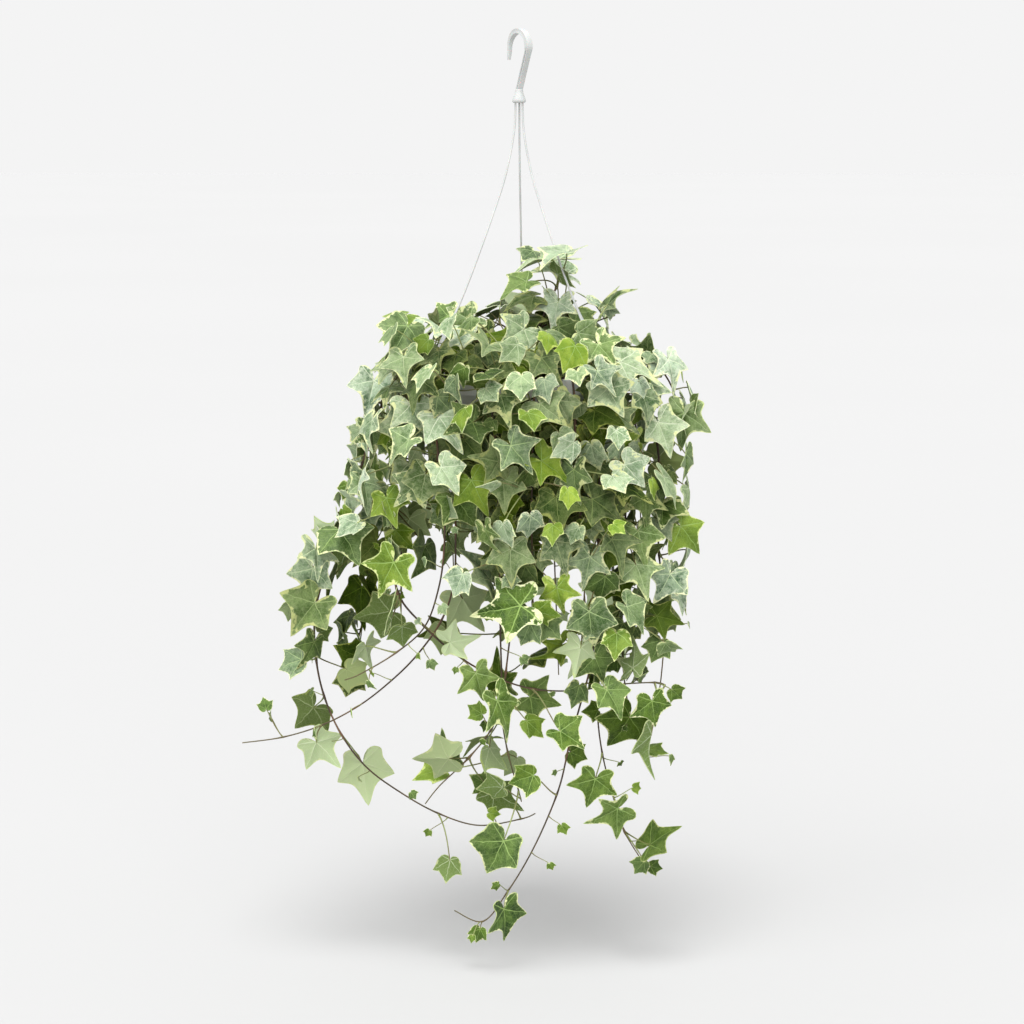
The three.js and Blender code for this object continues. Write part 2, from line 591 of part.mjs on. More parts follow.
// How far the foliage of the crown spreads to either side, from its top downwards, seen from the front.
const OUTLINE = [
  [-200, 0, 60], [-222, -36, 62], [-236, -117, 66], [-257, -119, 76], [-275, -124, 108],
  [-292, -134, 139], [-344, -142, 152], [-400, -148, 148], [-425, -190, 146], [-800, -240, 146],
]; // height, left limit, right limit

const FACING = {
  front: vec(0, -1, 0.3),
  back: vec(0, 1, 0.15),
  up: vec(0, -0.3, 1),
  side: vec(0.9, -0.45, 0.2),
};

// A point of the smooth curve through a row of points, past point number `index`.
function curvePoint(points, index, share) {
  const last = points.length - 1;
  const [a, b, c, d] = [-1, 0, 1, 2].map((step) => points[Math.min(Math.max(index + step, 0), last)]);
  const [t, tt, ttt] = [share, share ** 2, share ** 3];
  const near = mix(a, (-t + 2 * tt - ttt) / 2, b, (2 - 5 * tt + 3 * ttt) / 2);
  return near.add(mix(c, (t + 4 * tt - 3 * ttt) / 2, d, (ttt - tt) / 2));
}

// The corners of a stem: straight down in its hole, then along its route, closer together in the crown.
function stemCorners(vine) {
  const [radius, angle] = vine.root;
  const surface = soilHeight(radius);
  const way = [polar(radius, angle, surface - ROOT_DEPTH), polar(radius, angle, surface + 3)];
  vine.route.forEach((point) => way.push(point.isVector3 ? point : vec(...point)));
  const corners = [way[0], way[1]];
  const pieces = 12;
  let [walked, since, last] = [0, 0, way[1]];
  for (let i = 1; i < way.length - 1; i += 1) {
    for (let k = 1; k <= pieces; k += 1) {
      const point = curvePoint(way, i, k / pieces);
      walked += point.distanceTo(last);
      since += point.distanceTo(last);
      last = point;
      if (since < (walked < CROWN_REACH ? STEM_STEP / 2 : STEM_STEP)) continue;
      corners.push(point);
      since = 0;
    }
  }
  if (since > STEM_STEP / 4) corners.push(last);
  return corners;
}

// A place along a stem above the soil: the point and the way it runs there.
function alongStem(corners, distance) {
  let left = distance;
  for (let i = 2; i < corners.length; i += 1) {
    const [from, to] = [corners[i - 1], corners[i]];
    const length = from.distanceTo(to);
    if (left <= length || i === corners.length - 1) {
      const share = Math.min(left / length, 1);
      return { point: mix(from, 1 - share, to, share), along: mix(to, 1, from, -1).normalize() };
    }
    left -= length;
  }
  throw new Error("a stem needs three corners");
}

function stemLength(corners) {
  return corners.slice(2).reduce((sum, point, k) => sum + point.distanceTo(corners[k + 1]), 0);
}

// Leaves

// Half of a blade's outline from its stalk to its tip: degrees from the midrib, and reach as a share
// of the length from stalk to tip. The other half mirrors it.
const FIVE_LOBES = [[158, 0.1], [130, 0.56], [98, 0.5], [62, 0.83], [30, 0.62], [0, 1]];
const THREE_LOBES = [[156, 0.1], [108, 0.5], [50, 0.68], [0, 1]];
const YOUNG_LENGTH = 24; // shorter blades have three lobes

// Everything that sets one leaf, drawn for a place on a stem.
function drawLeaf(vine, vineNumber, leafNumber, distance, attempt) {
  const spread = makeSpread(1 + 7919 * vineNumber + 10473 * leafNumber + 129971 * attempt);
  const { point, along } = alongStem(vine.corners, distance);
  const age = Math.min(distance / vine.length, 1);
  const height = Math.min(Math.max((point.z - RIM_Z + 25) / 80, 0), 1);
  const radial = vec(point.x, point.y, 0).normalize();
  const face = polar(1, vine.face, 0);
  const outward = mix(radial, 0.35 + 0.25 * height, face, 0.8, UP, 0.25 + 0.8 * height).normalize();
  const across = along.clone().cross(squareTo(outward, along)).multiplyScalar(leafNumber % 2 ? 1 : -1);
  const full = BLADE_LENGTH - TIP_LOSS * age ** 2;
  const length = full * (1 + spread(0.16)) * (1 - 0.012 * attempt);
  const stalk = mix(outward, 0.75, across, 0.75 + spread(0.5), UP, 0.3 + spread(0.4));
  stalk.addScaledVector(along, 0.2 + spread(0.5)).normalize();
  const reach = (STALK_LENGTH + 6 * height) * (1 + spread(0.35)) + 0.7 * attempt;
  const joint = mix(point, 1, stalk, reach);
  const wild = 0.5 + 0.02 * attempt;
  const normal = mix(outward, 1, across, 0.25 + spread(wild), UP, spread(wild));
  normal.addScaledVector(along, spread(wild)).normalize();
  const tip = mix(DOWN, 0.9 - 0.7 * height, across, 0.5 + spread(0.7), face, 0.35 + spread(0.2));
  tip.addScaledVector(radial, 0.6 * height);
  const shape = {
    width: 0.96 + spread(0.12),
    skew: spread(0.1),
    cut: 1 + spread(0.14),
    droop: 0.2 + spread(0.2),
    fold: 0.16 + spread(0.16),
    waves: [0, 0, 0, 0, 0, 0].map(() => spread(0.06)),
  };
  return makeLeaf(point, joint, normal, tip, length, shape);
}

// A leaf placed by hand, on the stem that it can hang from best, a little nearer or farther at each try.
function placedLeaf(entry, number, attempt, vines) {
  const spread = makeSpread(5 + 3571 * number);
  const shape = {
    width: 1 + spread(0.1),
    skew: spread(0.1),
    cut: 1 + spread(0.12),
    droop: 0.18 + spread(0.16),
    fold: 0.14 + spread(0.12),
    waves: [0, 0, 0, 0, 0, 0].map(() => spread(0.06)),
  };
  const roll = radians((entry.roll ?? 0) + spread(16));
  const shift = vec(0, (attempt % 2 ? -1.5 : 1.5) * attempt, 0);
  const joint = vec(...entry.joint).add(shift);
  const reach = vec(...entry.tip).add(shift).sub(joint);
  const dense = entry.joint[2] > DENSE_FROM && entry.faces === "front";
  const length = Math.max(reach.length(), dense ? SHORTEST_DENSE : 0);
  if (length > reach.length()) {
    reach.setY(0).setLength(Math.max(reach.length(), MOST_TILT * length));
    reach.y = -Math.sqrt(Math.max(length ** 2 - reach.lengthSq(), 0));
  }
  const u = reach.normalize();
  let best = { cost: Infinity };
  for (const vine of vines) {
    for (let distance = 12; distance < vine.length; distance += 6) {
      const { point } = alongStem(vine.corners, distance);
      const away = mix(joint, 1, point, -1);
      const cost = away.length() - 0.6 * away.dot(u);
      if (away.length() > 9 && cost < best.cost) best = { cost, vine, point };
    }
  }
  const straight = squareTo(FACING[entry.faces], u);
  const normal = mix(straight, Math.cos(roll), straight.clone().cross(u), Math.sin(roll));
  return { leaf: makeLeaf(best.point, joint, normal, u, length, shape), vine: best.vine };
}

// A leaf from its root on the stem, its joint, its blade's normal and the way its tip points.
function makeLeaf(root, joint, normal, tip, length, shape) {
  let n = normal.clone();
  let u = squareTo(tip, n);
  const stalk = mix(joint, 1, root, -1).normalize();
  const lean = radians(6);
  const mostLeans = 14;
  for (let k = 0; k < mostLeans && stalk.dot(u) < 0.15; k += 1) {
    const turned = mix(u, Math.cos(lean), n, Math.sin(lean));
    n = mix(n, Math.cos(lean), u, -Math.sin(lean));
    u = turned;
  }
  const v = n.clone().cross(u);
  const half = length < YOUNG_LENGTH ? THREE_LOBES : FIVE_LOBES;
  const outline = [];
  const corner = (index, side) => {
    const [degrees, share] = half[index];
    const sinus = half === FIVE_LOBES && (index === 2 || index === 4);
    const far = length * share * (sinus ? shape.cut : 1);
    const along = far * Math.cos(radians(degrees));
    const across = side * far * Math.sin(radians(degrees)) * (shape.width + side * shape.skew);
    const wave = shape.waves[(index + (side > 0 ? 3 : 0)) % 6] * length * share;
    const lift = shape.fold * Math.abs(across) - (shape.droop * far * far) / length + wave;
    outline.push(mix(joint, 1, u, along, v, across, n, index ? lift : 0));
  };
  for (let k = 0; k < half.length; k += 1) corner(k, -1);
  for (let k = half.length - 2; k >= 0; k -= 1) corner(k, 1);
  return { root, joint, n, u, v, length, outline, stalk };
}

// The closed solid of a leaf: two fans that meet at the outline, and a three-sided stalk
// that widens into the blade and ends inside the stem.
function leafSolid(leaf) {
  const { joint, root, n, outline, stalk } = leaf;
  const half = BLADE_THICKNESS / 2;
  const points = [mix(joint, 1, n, half), mix(joint, 1, n, -half), ...outline];
  const triangles = [];
  for (let k = 0; k + 1 < outline.length; k += 1)
    triangles.push(0, k + 2, k + 3, 1, k + 3, k + 2);
  const back = stalk.clone().negate();
  const above = squareTo(n, back);
  const beside = back.clone().cross(above);
  const neck = Math.min(6, joint.distanceTo(root) / 2);
  for (const [centre, radius] of [[mix(joint, 1, back, neck), STALK_RADIUS], [root, STALK_RADIUS / 2]]) {
    for (let k = 0; k < 3; k += 1) {
      const turn = (2 * Math.PI * k) / 3;
      const [high, wide] = [Math.cos(turn) * radius, Math.sin(turn) * radius];
      points.push(mix(centre, 1, above, high, beside, wide));
    }
  }
  const [top, left, under, right] = [0, outline.length + 1, 1, 2];
  const [a, b, c] = [0, 1, 2].map((k) => outline.length + 2 + k);
  triangles.push(top, left, a, left, b, a, left, under, b);
  triangles.push(under, c, b, under, right, c, right, top, a, right, a, c);
  for (const [p, q] of [[a, b], [b, c], [c, a]]) triangles.push(p, q, q + 3, p, q + 3, p + 3);
  triangles.push(a + 3, b + 3, c + 3);
  return solidFrom(points.flatMap((point) => point.toArray()), triangles);
}

// Keeping leaves apart: each leaf or stem is a list of bits, triangles or lines with a thickness.

function makeBit(corners, radius) {
  const centre = mix(...corners.flatMap((corner) => [corner, 1 / corners.length]));
  const reach = Math.max(...corners.map((corner) => corner.distanceTo(centre))) + radius;
  const edges = corners.length === 2 ? [[0, 1]] : [[0, 1], [1, 2], [2, 0]];
  const lines = edges.map(([a, b]) => new THREE.Line3(corners[a], corners[b]));
  const triangle = corners.length === 3 ? new THREE.Triangle(...corners) : null;
  return { corners, radius, centre, reach, lines, triangle };
}

function makeGroup(bits) {
  const sphere = new THREE.Sphere().setFromPoints(bits.flatMap((bit) => bit.corners));
  return { bits, centre: sphere.center, reach: sphere.radius + 2 };
}

const nearest = vec(0, 0, 0);
const ray = new THREE.Ray();

function pierces(line, { a, b, c }) {
  ray.origin.copy(line.start);
  line.delta(ray.direction).normalize();
  if (ray.intersectTriangle(a, b, c, false, nearest) === null) return false;
  return nearest.distanceTo(line.start) <= line.distance();
}

function bitsTouch(one, two) {
  const limit = one.radius + two.radius + LEAF_GAP;
  if (one.centre.distanceTo(two.centre) > one.reach + two.reach + LEAF_GAP) return false;
  const close = (a, b) => a.distanceSqToLine3(b) < limit * limit;
  if (one.lines.some((a) => two.lines.some((b) => close(a, b)))) return true;
  return [[one, two], [two, one]].some(([bit, { triangle }]) => {
    if (!triangle) return false;
    const offset = (corner) => triangle.closestPointToPoint(corner, nearest).distanceTo(corner);
    if (bit.corners.some((corner) => offset(corner) < limit)) return true;
    return bit.lines.some((line) => pierces(line, triangle));
  });
}

function groupsTouch(one, two) {
  if (one.centre.distanceTo(two.centre) > one.reach + two.reach + LEAF_GAP) return false;
  return one.bits.some((a) => two.bits.some((b) => bitsTouch(a, b)));
}

function bladeBits({ joint, outline }) {
  const bits = [];
  for (let k = 0; k + 1 < outline.length; k += 1)
    bits.push(makeBit([joint, outline[k], outline[k + 1]], BLADE_THICKNESS * 0.4));
  return bits;
}

function stalkBit({ joint, root, stalk }, short) {
  return makeBit([joint, mix(root, 1, stalk, short)], STALK_RADIUS);
}

function stemBits(corners) {
  return corners.slice(1).map((point, k) => makeBit([corners[k], point], STEM_RADIUS));
}

// Whether a point is clear of the pot and the soil.
function clearOfPot(point) {
  const away = Math.hypot(point.x, point.y);
  const margin = 2.5;
  if (away > RIM_RADIUS + margin || point.z < RIM_Z - POT_HEIGHT - margin) return true;
  if (point.z > RIM_Z + margin) return true;
  return away < INNER_TOP_RADIUS - margin && point.z > soilHeight(away) + margin;
}

function leafClearOfPot({ joint, outline, root }) {
  if (!clearOfPot(mix(joint, 0.5, root, 0.5))) return false;
  return outline.every((point, k) => {
    const next = outline[Math.min(k + 1, outline.length - 1)];
    const inside = mix(point, 0.3, next, 0.3, joint, 0.4);
    return [point, mix(point, 0.5, joint, 0.5), mix(point, 0.5, next, 0.5), inside].every(clearOfPot);
  });
}

// Whether a leaf would stand in front of one that is placed by hand.
function hidesPlaced({ joint, u, length }) {
  const middle = mix(joint, 1, u, length * 0.3);
  return PLACED.some(({ joint: from, tip }) => {
    const centre = mix(vec(...from), 0.7, vec(...tip), 0.3);
    const kept = centre.z > DENSE_FROM ? KEPT_IN_VIEW / 2 : KEPT_IN_VIEW;
    return middle.y < centre.y + 4 && Math.hypot(middle.x - centre.x, middle.z - centre.z) < kept;
  });
}

function withinOutline({ outline }) {
  return outline.every(({ x, z }) => {
    const below = OUTLINE.findIndex(([height]) => height < z);
    if (below === 0) return x > OUTLINE[0][1] && x < OUTLINE[0][2];
    const [[high, left, right], [low, lowLeft, lowRight]] = [OUTLINE[below - 1], OUTLINE[below]];
    const share = (high - z) / (high - low);
    return x > left + (lowLeft - left) * share && x < right + (lowRight - right) * share;
  });
}

// Grow all leaves: the ones placed by hand first, then those of every vine in turn from the crown
// outwards, each at the first draw that touches nothing.
function growLeaves(vines) {
  const fixed = [];
  for (const angle of Object.values(STRAND_ANGLES)) {
    const route = strandRoute(angle);
    const bits = route.slice(1).map((point, k) => makeBit([route[k], point], STRAND_RADIUS));
    const clip = [4, -18].map((height) => polar(RIM_RADIUS + 1, angle, RIM_Z + height));
    bits.push(makeBit(clip, CLIP_WIDTH / 2 + 0.5));
    fixed.push(...bits.map((bit) => makeGroup([bit])));
  }
  for (const vine of vines) vine.bits = stemBits(vine.corners).map((bit) => makeGroup([bit]));
  const placed = [];
  const fits = (leaf, vine) => {
    if (!leafClearOfPot(leaf)) return false;
    const blade = makeGroup(bladeBits(leaf));
    const whole = makeGroup([...blade.bits, stalkBit(leaf, 3)]);
    if (vine.bits.some((other) => groupsTouch(blade, other))) return false;
    if (fixed.some((other) => groupsTouch(whole, other))) return false;
    if (placed.some((other) => groupsTouch(whole, other))) return false;
    const others = vines.filter((other) => other !== vine);
    if (others.some((other) => other.bits.some((bit) => groupsTouch(whole, bit)))) return false;
    placed.push(whole);
    vine.leaves.push(leaf);
    return true;
  };
  PLACED.forEach((entry, number) => {
    for (let attempt = 0; attempt < TRIES; attempt += 1) {
      const { leaf, vine } = placedLeaf(entry, number, attempt, vines);
      if (fits(leaf, vine)) return;
    }
  });
  const most = Math.max(...vines.map((vine) => vine.places.length));
  for (let k = 0; k < most; k += 1) {
    for (let number = vines.length - 1; number >= 0; number -= 1) {
      const vine = vines[number];
      if (k >= vine.places.length) continue;
      for (let attempt = 0; attempt < TRIES; attempt += 1) {
        const leaf = drawLeaf(vine, number, k, vine.places[k], attempt);
        if (!hidesPlaced(leaf) && withinOutline(leaf) && fits(leaf, vine)) break;
      }
    }
  }
}

// Where blades grow along a stem: close together in the crown, wider apart on the trails.
function leafPlaces(vine) {
  const [first, last] = vine.leafy;
  const places = [];
  let place = first;
  while (place < Math.min(last, vine.length)) {
    places.push(place);
    place += (vine.spacing ?? LEAF_SPACING) + SPACING_GROWTH * Math.min(place / 350, 1);
  }
  return places;
}

function vineSolid(vine) {
  const total = vine.corners.length - 1;
  const radii = vine.corners.map((_, k) => STEM_RADIUS * (1 - (0.4 * k) / total));
  let solid = tube(vine.corners, radii, 3);
  for (const leaf of vine.leaves) solid = solid.add(leafSolid(leaf));
  return solid;
}

// The part

function material(colour, roughness) {
  return new THREE.MeshStandardMaterial({ color: colour, roughness, metalness: 0 });
}

const root = new THREE.Group();

function addPart(name, solid, surface) {
  const mesh = new THREE.Mesh(geometryOf(solid), surface);
  mesh.name = name;
  root.add(mesh);
}

const vines = allVines();
for (const vine of vines) {
  vine.corners = stemCorners(vine);
  vine.length = stemLength(vine.corners);
  vine.places = leafPlaces(vine);
  vine.leaves = [];
}
growLeaves(vines);

addPart("pot", potSolid(), material(COLOURS.pot, 0.45));
addPart("soil", soilSolid(vines.map((vine) => vine.root)), material(COLOURS.soil, 0.95));
addPart("hanger_hook", hookSolid(), material(COLOURS.hanger, 0.35));
for (const [side, angle] of Object.entries(STRAND_ANGLES))
  addPart(`hanger_strand_${side}`, strandSolid(angle), material(COLOURS.hanger, 0.35));
for (const vine of vines) addPart(vine.name, vineSolid(vine), material(COLOURS.ivy, 0.5));

export default root;
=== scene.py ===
import math
from math import cos, radians, sin

import bmesh
import bpy
import numpy as np
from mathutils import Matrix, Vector, noise
from numpy.linalg import norm


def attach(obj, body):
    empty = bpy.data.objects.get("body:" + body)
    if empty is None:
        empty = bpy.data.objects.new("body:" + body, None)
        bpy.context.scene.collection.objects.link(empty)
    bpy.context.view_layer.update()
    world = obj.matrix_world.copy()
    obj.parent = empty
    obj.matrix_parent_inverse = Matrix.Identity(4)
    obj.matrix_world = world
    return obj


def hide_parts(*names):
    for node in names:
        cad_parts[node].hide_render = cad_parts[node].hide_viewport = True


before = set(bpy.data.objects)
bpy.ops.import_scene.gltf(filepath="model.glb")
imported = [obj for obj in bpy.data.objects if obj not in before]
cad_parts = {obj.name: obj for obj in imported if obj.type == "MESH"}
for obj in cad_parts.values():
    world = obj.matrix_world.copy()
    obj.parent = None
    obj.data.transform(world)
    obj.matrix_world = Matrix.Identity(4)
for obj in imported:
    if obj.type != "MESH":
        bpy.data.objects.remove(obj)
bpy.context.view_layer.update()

MM = 0.001

# Sizes shared with the solid model

GAP = 0.3
RIM_RADIUS = 85.0
RIM_Z = -285.0
RIM_BAND = 14.0
BAND_WALL = 1.6
POT_HEIGHT = 125.0
BASE_RADIUS = 58.0
POT_WALL = 1.8
SOIL_Z = RIM_Z - 8
SOIL_MOUND = 6.0
ROOT_DEPTH = 22.0
WALL_TOP_RADIUS = RIM_RADIUS - 4.4
INNER_TOP_RADIUS = WALL_TOP_RADIUS - POT_WALL
INNER_BASE_RADIUS = BASE_RADIUS - POT_WALL
FLOOR_Z = RIM_Z - POT_HEIGHT + POT_WALL
STRAND_RADIUS = 0.9
CLIP_WIDTH = 8.0
STRAND_ANGLES = {"right": -33, "back": 87, "left": 207}
COLLAR_TOP = -48.0
COLLAR_BOTTOM = -58.0
SOCKET_CIRCLE = 3.6
STEM_STEP = 34.0
CROWN_REACH = 110.0
BLADE_THICKNESS = 2.2
HOOK_INNER = 11.6
HOOK_BAND = 4.2
HOOK_DEPTH = 6.0
HOOK_TURN = -55

# Sizes of the finer pieces

LEAF_HALF = 0.24
FILL_STEP = 6.5  # between small leaves along a stem
FILL_LENGTHS = (11.0, 23.0)
FILL_STALKS = (5.0, 16.0)
WALL_STEP = 7.0  # between those that lie against the pot
WALL_LENGTHS = (14.0, 25.0)
SPROUT_STEP = 38.0  # between the tiny leaves further down
SPROUT_LENGTHS = (5.0, 10.0)
SPROUT_STALKS = (9.0, 26.0)
FILL_CLEAR = 4.5  # between the middle of a small leaf and the blade of a large one
POT_CLEAR = 8.0  # between the pot's rim and the joint of a small leaf
WALL_REACH = 35.0  # how far from the pot a stem still has leaves against its wall
BARE_END = 8.0  # of a stem, without leaves
FIRST_SEED = 1000
FINE_LENGTH = 22.0  # leaves that are longer have a finer grid
FINE = (5, [0, 0.12, 0.26, 0.41, 0.56, 0.71, 0.85, 0.95, 1])  # steps of an edge, and rows
PLAIN = (3, [0, 0.24, 0.52, 0.84, 1])
STEM_ROOT_RADIUS = 1.35
STEM_TIP_RADIUS = 0.5
STEM_SIDES = 10
STEM_STEPS = 8  # of the smooth line between two corners of the solid stem
KNOT = 0.45  # how much a stem swells where a stalk leaves it
STALK_SIDES = 6
STALK_STEPS = 9
STALK_RADIUS = 0.62
SHARP = 38  # degrees from which an edge stays sharp
VINE_SHARP = 55
SOIL_SHARP = 60
STRAND_SHARP = 50
POT_SIDES = 120
DRAIN_CIRCLE = 34.0
DRAIN_RADIUS = 5.0
DRAIN_ANGLES = (0, 90, 180, 270)
SOIL_SIDES = 150
SOIL_ROWS = 40
LUMPS = 520  # of peat and perlite on the soil, every fourth of perlite
HOOK_TAPER = 0.45  # how much slimmer the hook's open arm is at its end
TAPER_RINGS = 18
COLLAR_SIDES = 72
COLLAR_WAVE = 0.07  # how deep its foot is scalloped between the three sockets
SOCKET_DEPTH = 5.5
STRAND_SIDES = 20
# A strand's way down to the rim: how far outside its socket, and how far above the collar's foot
STRAND_ROUTE = [(0, 5.2), (0, -8), (1.2, -24), (6, -48), (16, -80), (50, -162)]

# Colours


def rgb(red, green, blue):
    """A screen colour from 0 to 255 as the linear colour that a shader takes."""
    shares = [value / 255 for value in (red, green, blue)]
    linear = [x / 12.92 if x <= 0.04045 else ((x + 0.055) / 1.055) ** 2.4 for x in shares]
    return (*linear, 1.0)


# Vectors and lines


def clamp(value, low=0.0, high=1.0):
    return min(max(value, low), high)


def eased(t):
    return t * t * (3 - 2 * t)


def polar(radius, degrees, z):
    turn = radians(degrees)
    return np.array([radius * cos(turn), radius * sin(turn), z])


def unit(vector):
    return vector / norm(vector)


def square_to(vector, axis):
    return unit(vector - axis * (vector @ axis))


def circle(sides):
    """Angles of the corners of a round section."""
    return 2 * np.pi * np.arange(sides) / sides


def directions(line):
    """Unit vectors along a line of points."""
    ways = np.gradient(line, axis=0)
    return ways / norm(ways, axis=1, keepdims=True)


def distances(line):
    """How far along a line each of its points lies."""
    return np.concatenate([[0], np.cumsum(norm(np.diff(line, axis=0), axis=1))])


def bezier(start, first, second, end, t):
    return (1 - t) ** 3 * start + 3 * t * (1 - t) ** 2 * first + 3 * t * t * (1 - t) * second + t**3 * end


def smooth_line(points, steps):
    """Points of the smooth curve that passes through each given point."""
    points = np.asarray(points, float)
    last = len(points) - 1
    line = []
    for i in range(last):
        a, b, c, d = (points[clamp(i + k, 0, last)] for k in (-1, 0, 1, 2))
        for t in np.arange(steps) / steps:
            line.append(catmull(a, b, c, d, t))
    line.append(points[-1])
    return np.array(line)


def catmull(a, b, c, d, t):
    """A point of the uniform Catmull-Rom curve between b and c."""
    return (
        a * (-t + 2 * t**2 - t**3)
        + b * (2 - 5 * t**2 + 3 * t**3)
        + c * (t + 4 * t**2 - 3 * t**3)
        + d * (t**3 - t**2)
    ) / 2


# Meshes and pieces


def skin(rings, sides, first=0):
    """Faces between rings of corners that follow each other."""
    faces = []
    for low in range(first, first + (rings - 1) * sides, sides):
        for a in range(sides):
            b = (a + 1) % sides
            faces.append([low + a, low + b, low + sides + b, low + sides + a])
    return faces


def tube_faces(rings, sides, first=0):
    """The skin and the two ends of a closed tube."""
    last = first + (rings - 1) * sides
    ends = [list(range(first, first + sides))[::-1], list(range(last, last + sides))]
    return skin(rings, sides, first) + ends


def new_object(name, data):
    made = bpy.data.objects.new(name, data)
    bpy.context.scene.collection.objects.link(made)
    return made


def new_mesh(name, points, faces):
    """A mesh from points in millimetres."""
    mesh = bpy.data.meshes.new(name)
    mesh.from_pydata((np.array(points) * MM).tolist(), [], faces)
    return mesh


def finish_piece(mesh, materials, surfaces, sharp, node):
    """Makes a mesh into a piece that stands for a node of the solid model."""
    for material in materials:
        mesh.materials.append(material)
    mesh.polygons.foreach_set("material_index", surfaces)
    mesh.polygons.foreach_set("use_smooth", [True] * len(surfaces))
    mesh.set_sharp_from_angle(angle=radians(sharp))
    piece = new_object(mesh.name, mesh)
    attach(piece, "root")
    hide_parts(node)
    return piece


# Camera at the photograph's angle

CAMERA_AIM = np.array([-6.0, 0.0, -406.7])
CAMERA_DISTANCE = 2600.0
CAMERA_ELEVATION = 8.0
VIEW_WIDTH = 880.6
SENSOR_WIDTH = 36


def add_camera():
    data = bpy.data.cameras.new("camera")
    camera = new_object("camera", data)
    tilt = radians(CAMERA_ELEVATION)
    offset = np.array([0, -cos(tilt), sin(tilt)]) * CAMERA_DISTANCE
    camera.location = (CAMERA_AIM + offset) * MM
    camera.rotation_euler = (math.pi / 2 - tilt, 0, 0)
    data.sensor_width = SENSOR_WIDTH
    data.lens = SENSOR_WIDTH * CAMERA_DISTANCE / VIEW_WIDTH
    data.clip_end = 50
    bpy.context.scene.camera = camera


add_camera()

# Stems: root in the soil as (radius, angle), how far along it small leaves grow, and the points that
# the stem passes through

USUAL_LEAFY = 150
TRAILING = {
    "vine_left_arc": ((55, 200), 300, [
        (-78, -28, -270), (-106, -38, -290), (-124, -44, -335), (-141, -46, -385),
        (-157, -46, -430), (-172, -46, -480), (-173, -48, -520), (-166, -50, -557),
        (-150, -55, -592), (-130, -60, -617), (-95, -60, -643), (-60, -60, -661), (-22, -55, -670),
        (14, -50, -660)
    ]),
    "vine_left_short": ((48, 183), 330, [
        (-82, -12, -270), (-110, -16, -290), (-122, -24, -345), (-126, -28, -420),
        (-130, -30, -478), (-140, -30, -520)
    ]),
    "vine_far_left": ((52, 242), 210, [
        (-38, -72, -270), (-50, -98, -285), (-54, -100, -335), (-53, -94, -384), (-54, -88, -450),
        (-63, -82, -482), (-78, -80, -508), (-116, -75, -547), (-144, -70, -567),
        (-186, -65, -587), (-241, -60, -597)
    ]),
    "vine_left_curve": ((64, 230), 200, [
        (-56, -76, -270), (-70, -96, -290), (-67, -105, -340), (-62, -106, -385),
        (-62, -106, -421), (-68, -104, -461), (-81, -100, -493), (-99, -95, -509),
        (-121, -92, -525), (-146, -90, -536)
    ]),
    "vine_crossing": ((62, 218), 230, [
        (-66, -58, -270), (-90, -70, -290), (-100, -76, -340), (-106, -78, -400),
        (-101, -80, -465), (-83, -86, -487), (-64, -90, -505), (-37, -91, -525), (-10, -91, -537),
        (9, -90, -543), (32, -86, -547), (69, -80, -544), (101, -78, -539), (123, -76, -543)
    ]),
    "vine_front_short": ((58, 276), 330, [
        (8, -76, -270), (12, -100, -285), (11, -106, -340), (10, -106, -407), (11, -105, -442),
        (11, -104, -500)
    ]),
    "vine_front_left": ((66, 262), 260, [
        (-14, -80, -270), (-22, -102, -290), (-18, -107, -366), (-16, -105, -430),
        (-16, -103, -482), (-15, -101, -526), (-17, -98, -559), (-28, -96, -585), (-42, -95, -601),
        (-65, -92, -624), (-79, -90, -642)
    ]),
    "vine_front_middle": ((44, 270), 260, [
        (-2, -70, -270), (-5, -94, -286), (-4, -97, -340), (-5, -95, -400), (-6, -92, -434),
        (-8, -85, -506), (-14, -80, -552), (-13, -78, -586), (-5, -76, -616), (2, -74, -644)
    ]),
    "vine_front_right": ((56, 298), 300, [
        (34, -72, -270), (44, -95, -285), (47, -102, -350), (52, -102, -412), (54, -100, -484),
        (50, -98, -512)
    ]),
    "vine_longest": ((66, 308), 330, [
        (50, -64, -270), (64, -82, -290), (66, -92, -340), (66, -92, -401), (64, -92, -470),
        (59, -92, -529), (50, -92, -560), (41, -90, -595), (31, -88, -639), (17, -86, -669),
        (2, -85, -702), (-15, -84, -726), (-33, -82, -748), (-44, -80, -744), (-55, -80, -737)
    ]),
    "vine_right_long": ((48, 318), 330, [
        (50, -48, -270), (74, -62, -285), (79, -74, -340), (76, -76, -400), (72, -72, -470),
        (68, -70, -531), (66, -70, -560), (68, -69, -585), (72, -68, -612), (79, -67, -638),
        (88, -66, -668), (99, -65, -688), (110, -64, -706)
    ]),
    "vine_right_middle": ((64, 330), 330, [
        (72, -32, -270), (96, -45, -290), (94, -58, -340), (90, -60, -390), (87, -61, -450),
        (87, -62, -512), (90, -62, -546), (94, -62, -578), (102, -60, -595), (110, -58, -617)
    ]),
    "vine_right_edge": ((55, 344), 300, [
        (72, -18, -270), (100, -26, -282), (113, -33, -320), (119, -38, -366), (119, -40, -390),
        (118, -41, -430), (124, -43, -480), (122, -46, -530), (118, -50, -563)
    ]),
    "vine_right_outer": ((58, 6), USUAL_LEAFY, [
        (74, 5, -270), (104, -2, -270), (126, -12, -290), (135, -16, -318), (136, -20, -350)
    ]),
    "vine_right_rise": ((34, 8), USUAL_LEAFY, [
        (46, 4, -262), (62, 4, -246), (76, 0, -238), (88, -4, -238)
    ]),
    "vine_top_rise": ((9, 340), USUAL_LEAFY, [
        (16, -2, -250), (30, 2, -218), (40, 4, -194)
    ]),
}

# Stems at the back: the angle at which one spills over the rim, and the depth that it hangs to
BACK = [(12, 130), (43, 270), (75, 290), (100, 180), (128, 200), (158, 140), (171, 230)]
CROWN_OFFSETS = [-30, 0, 34]


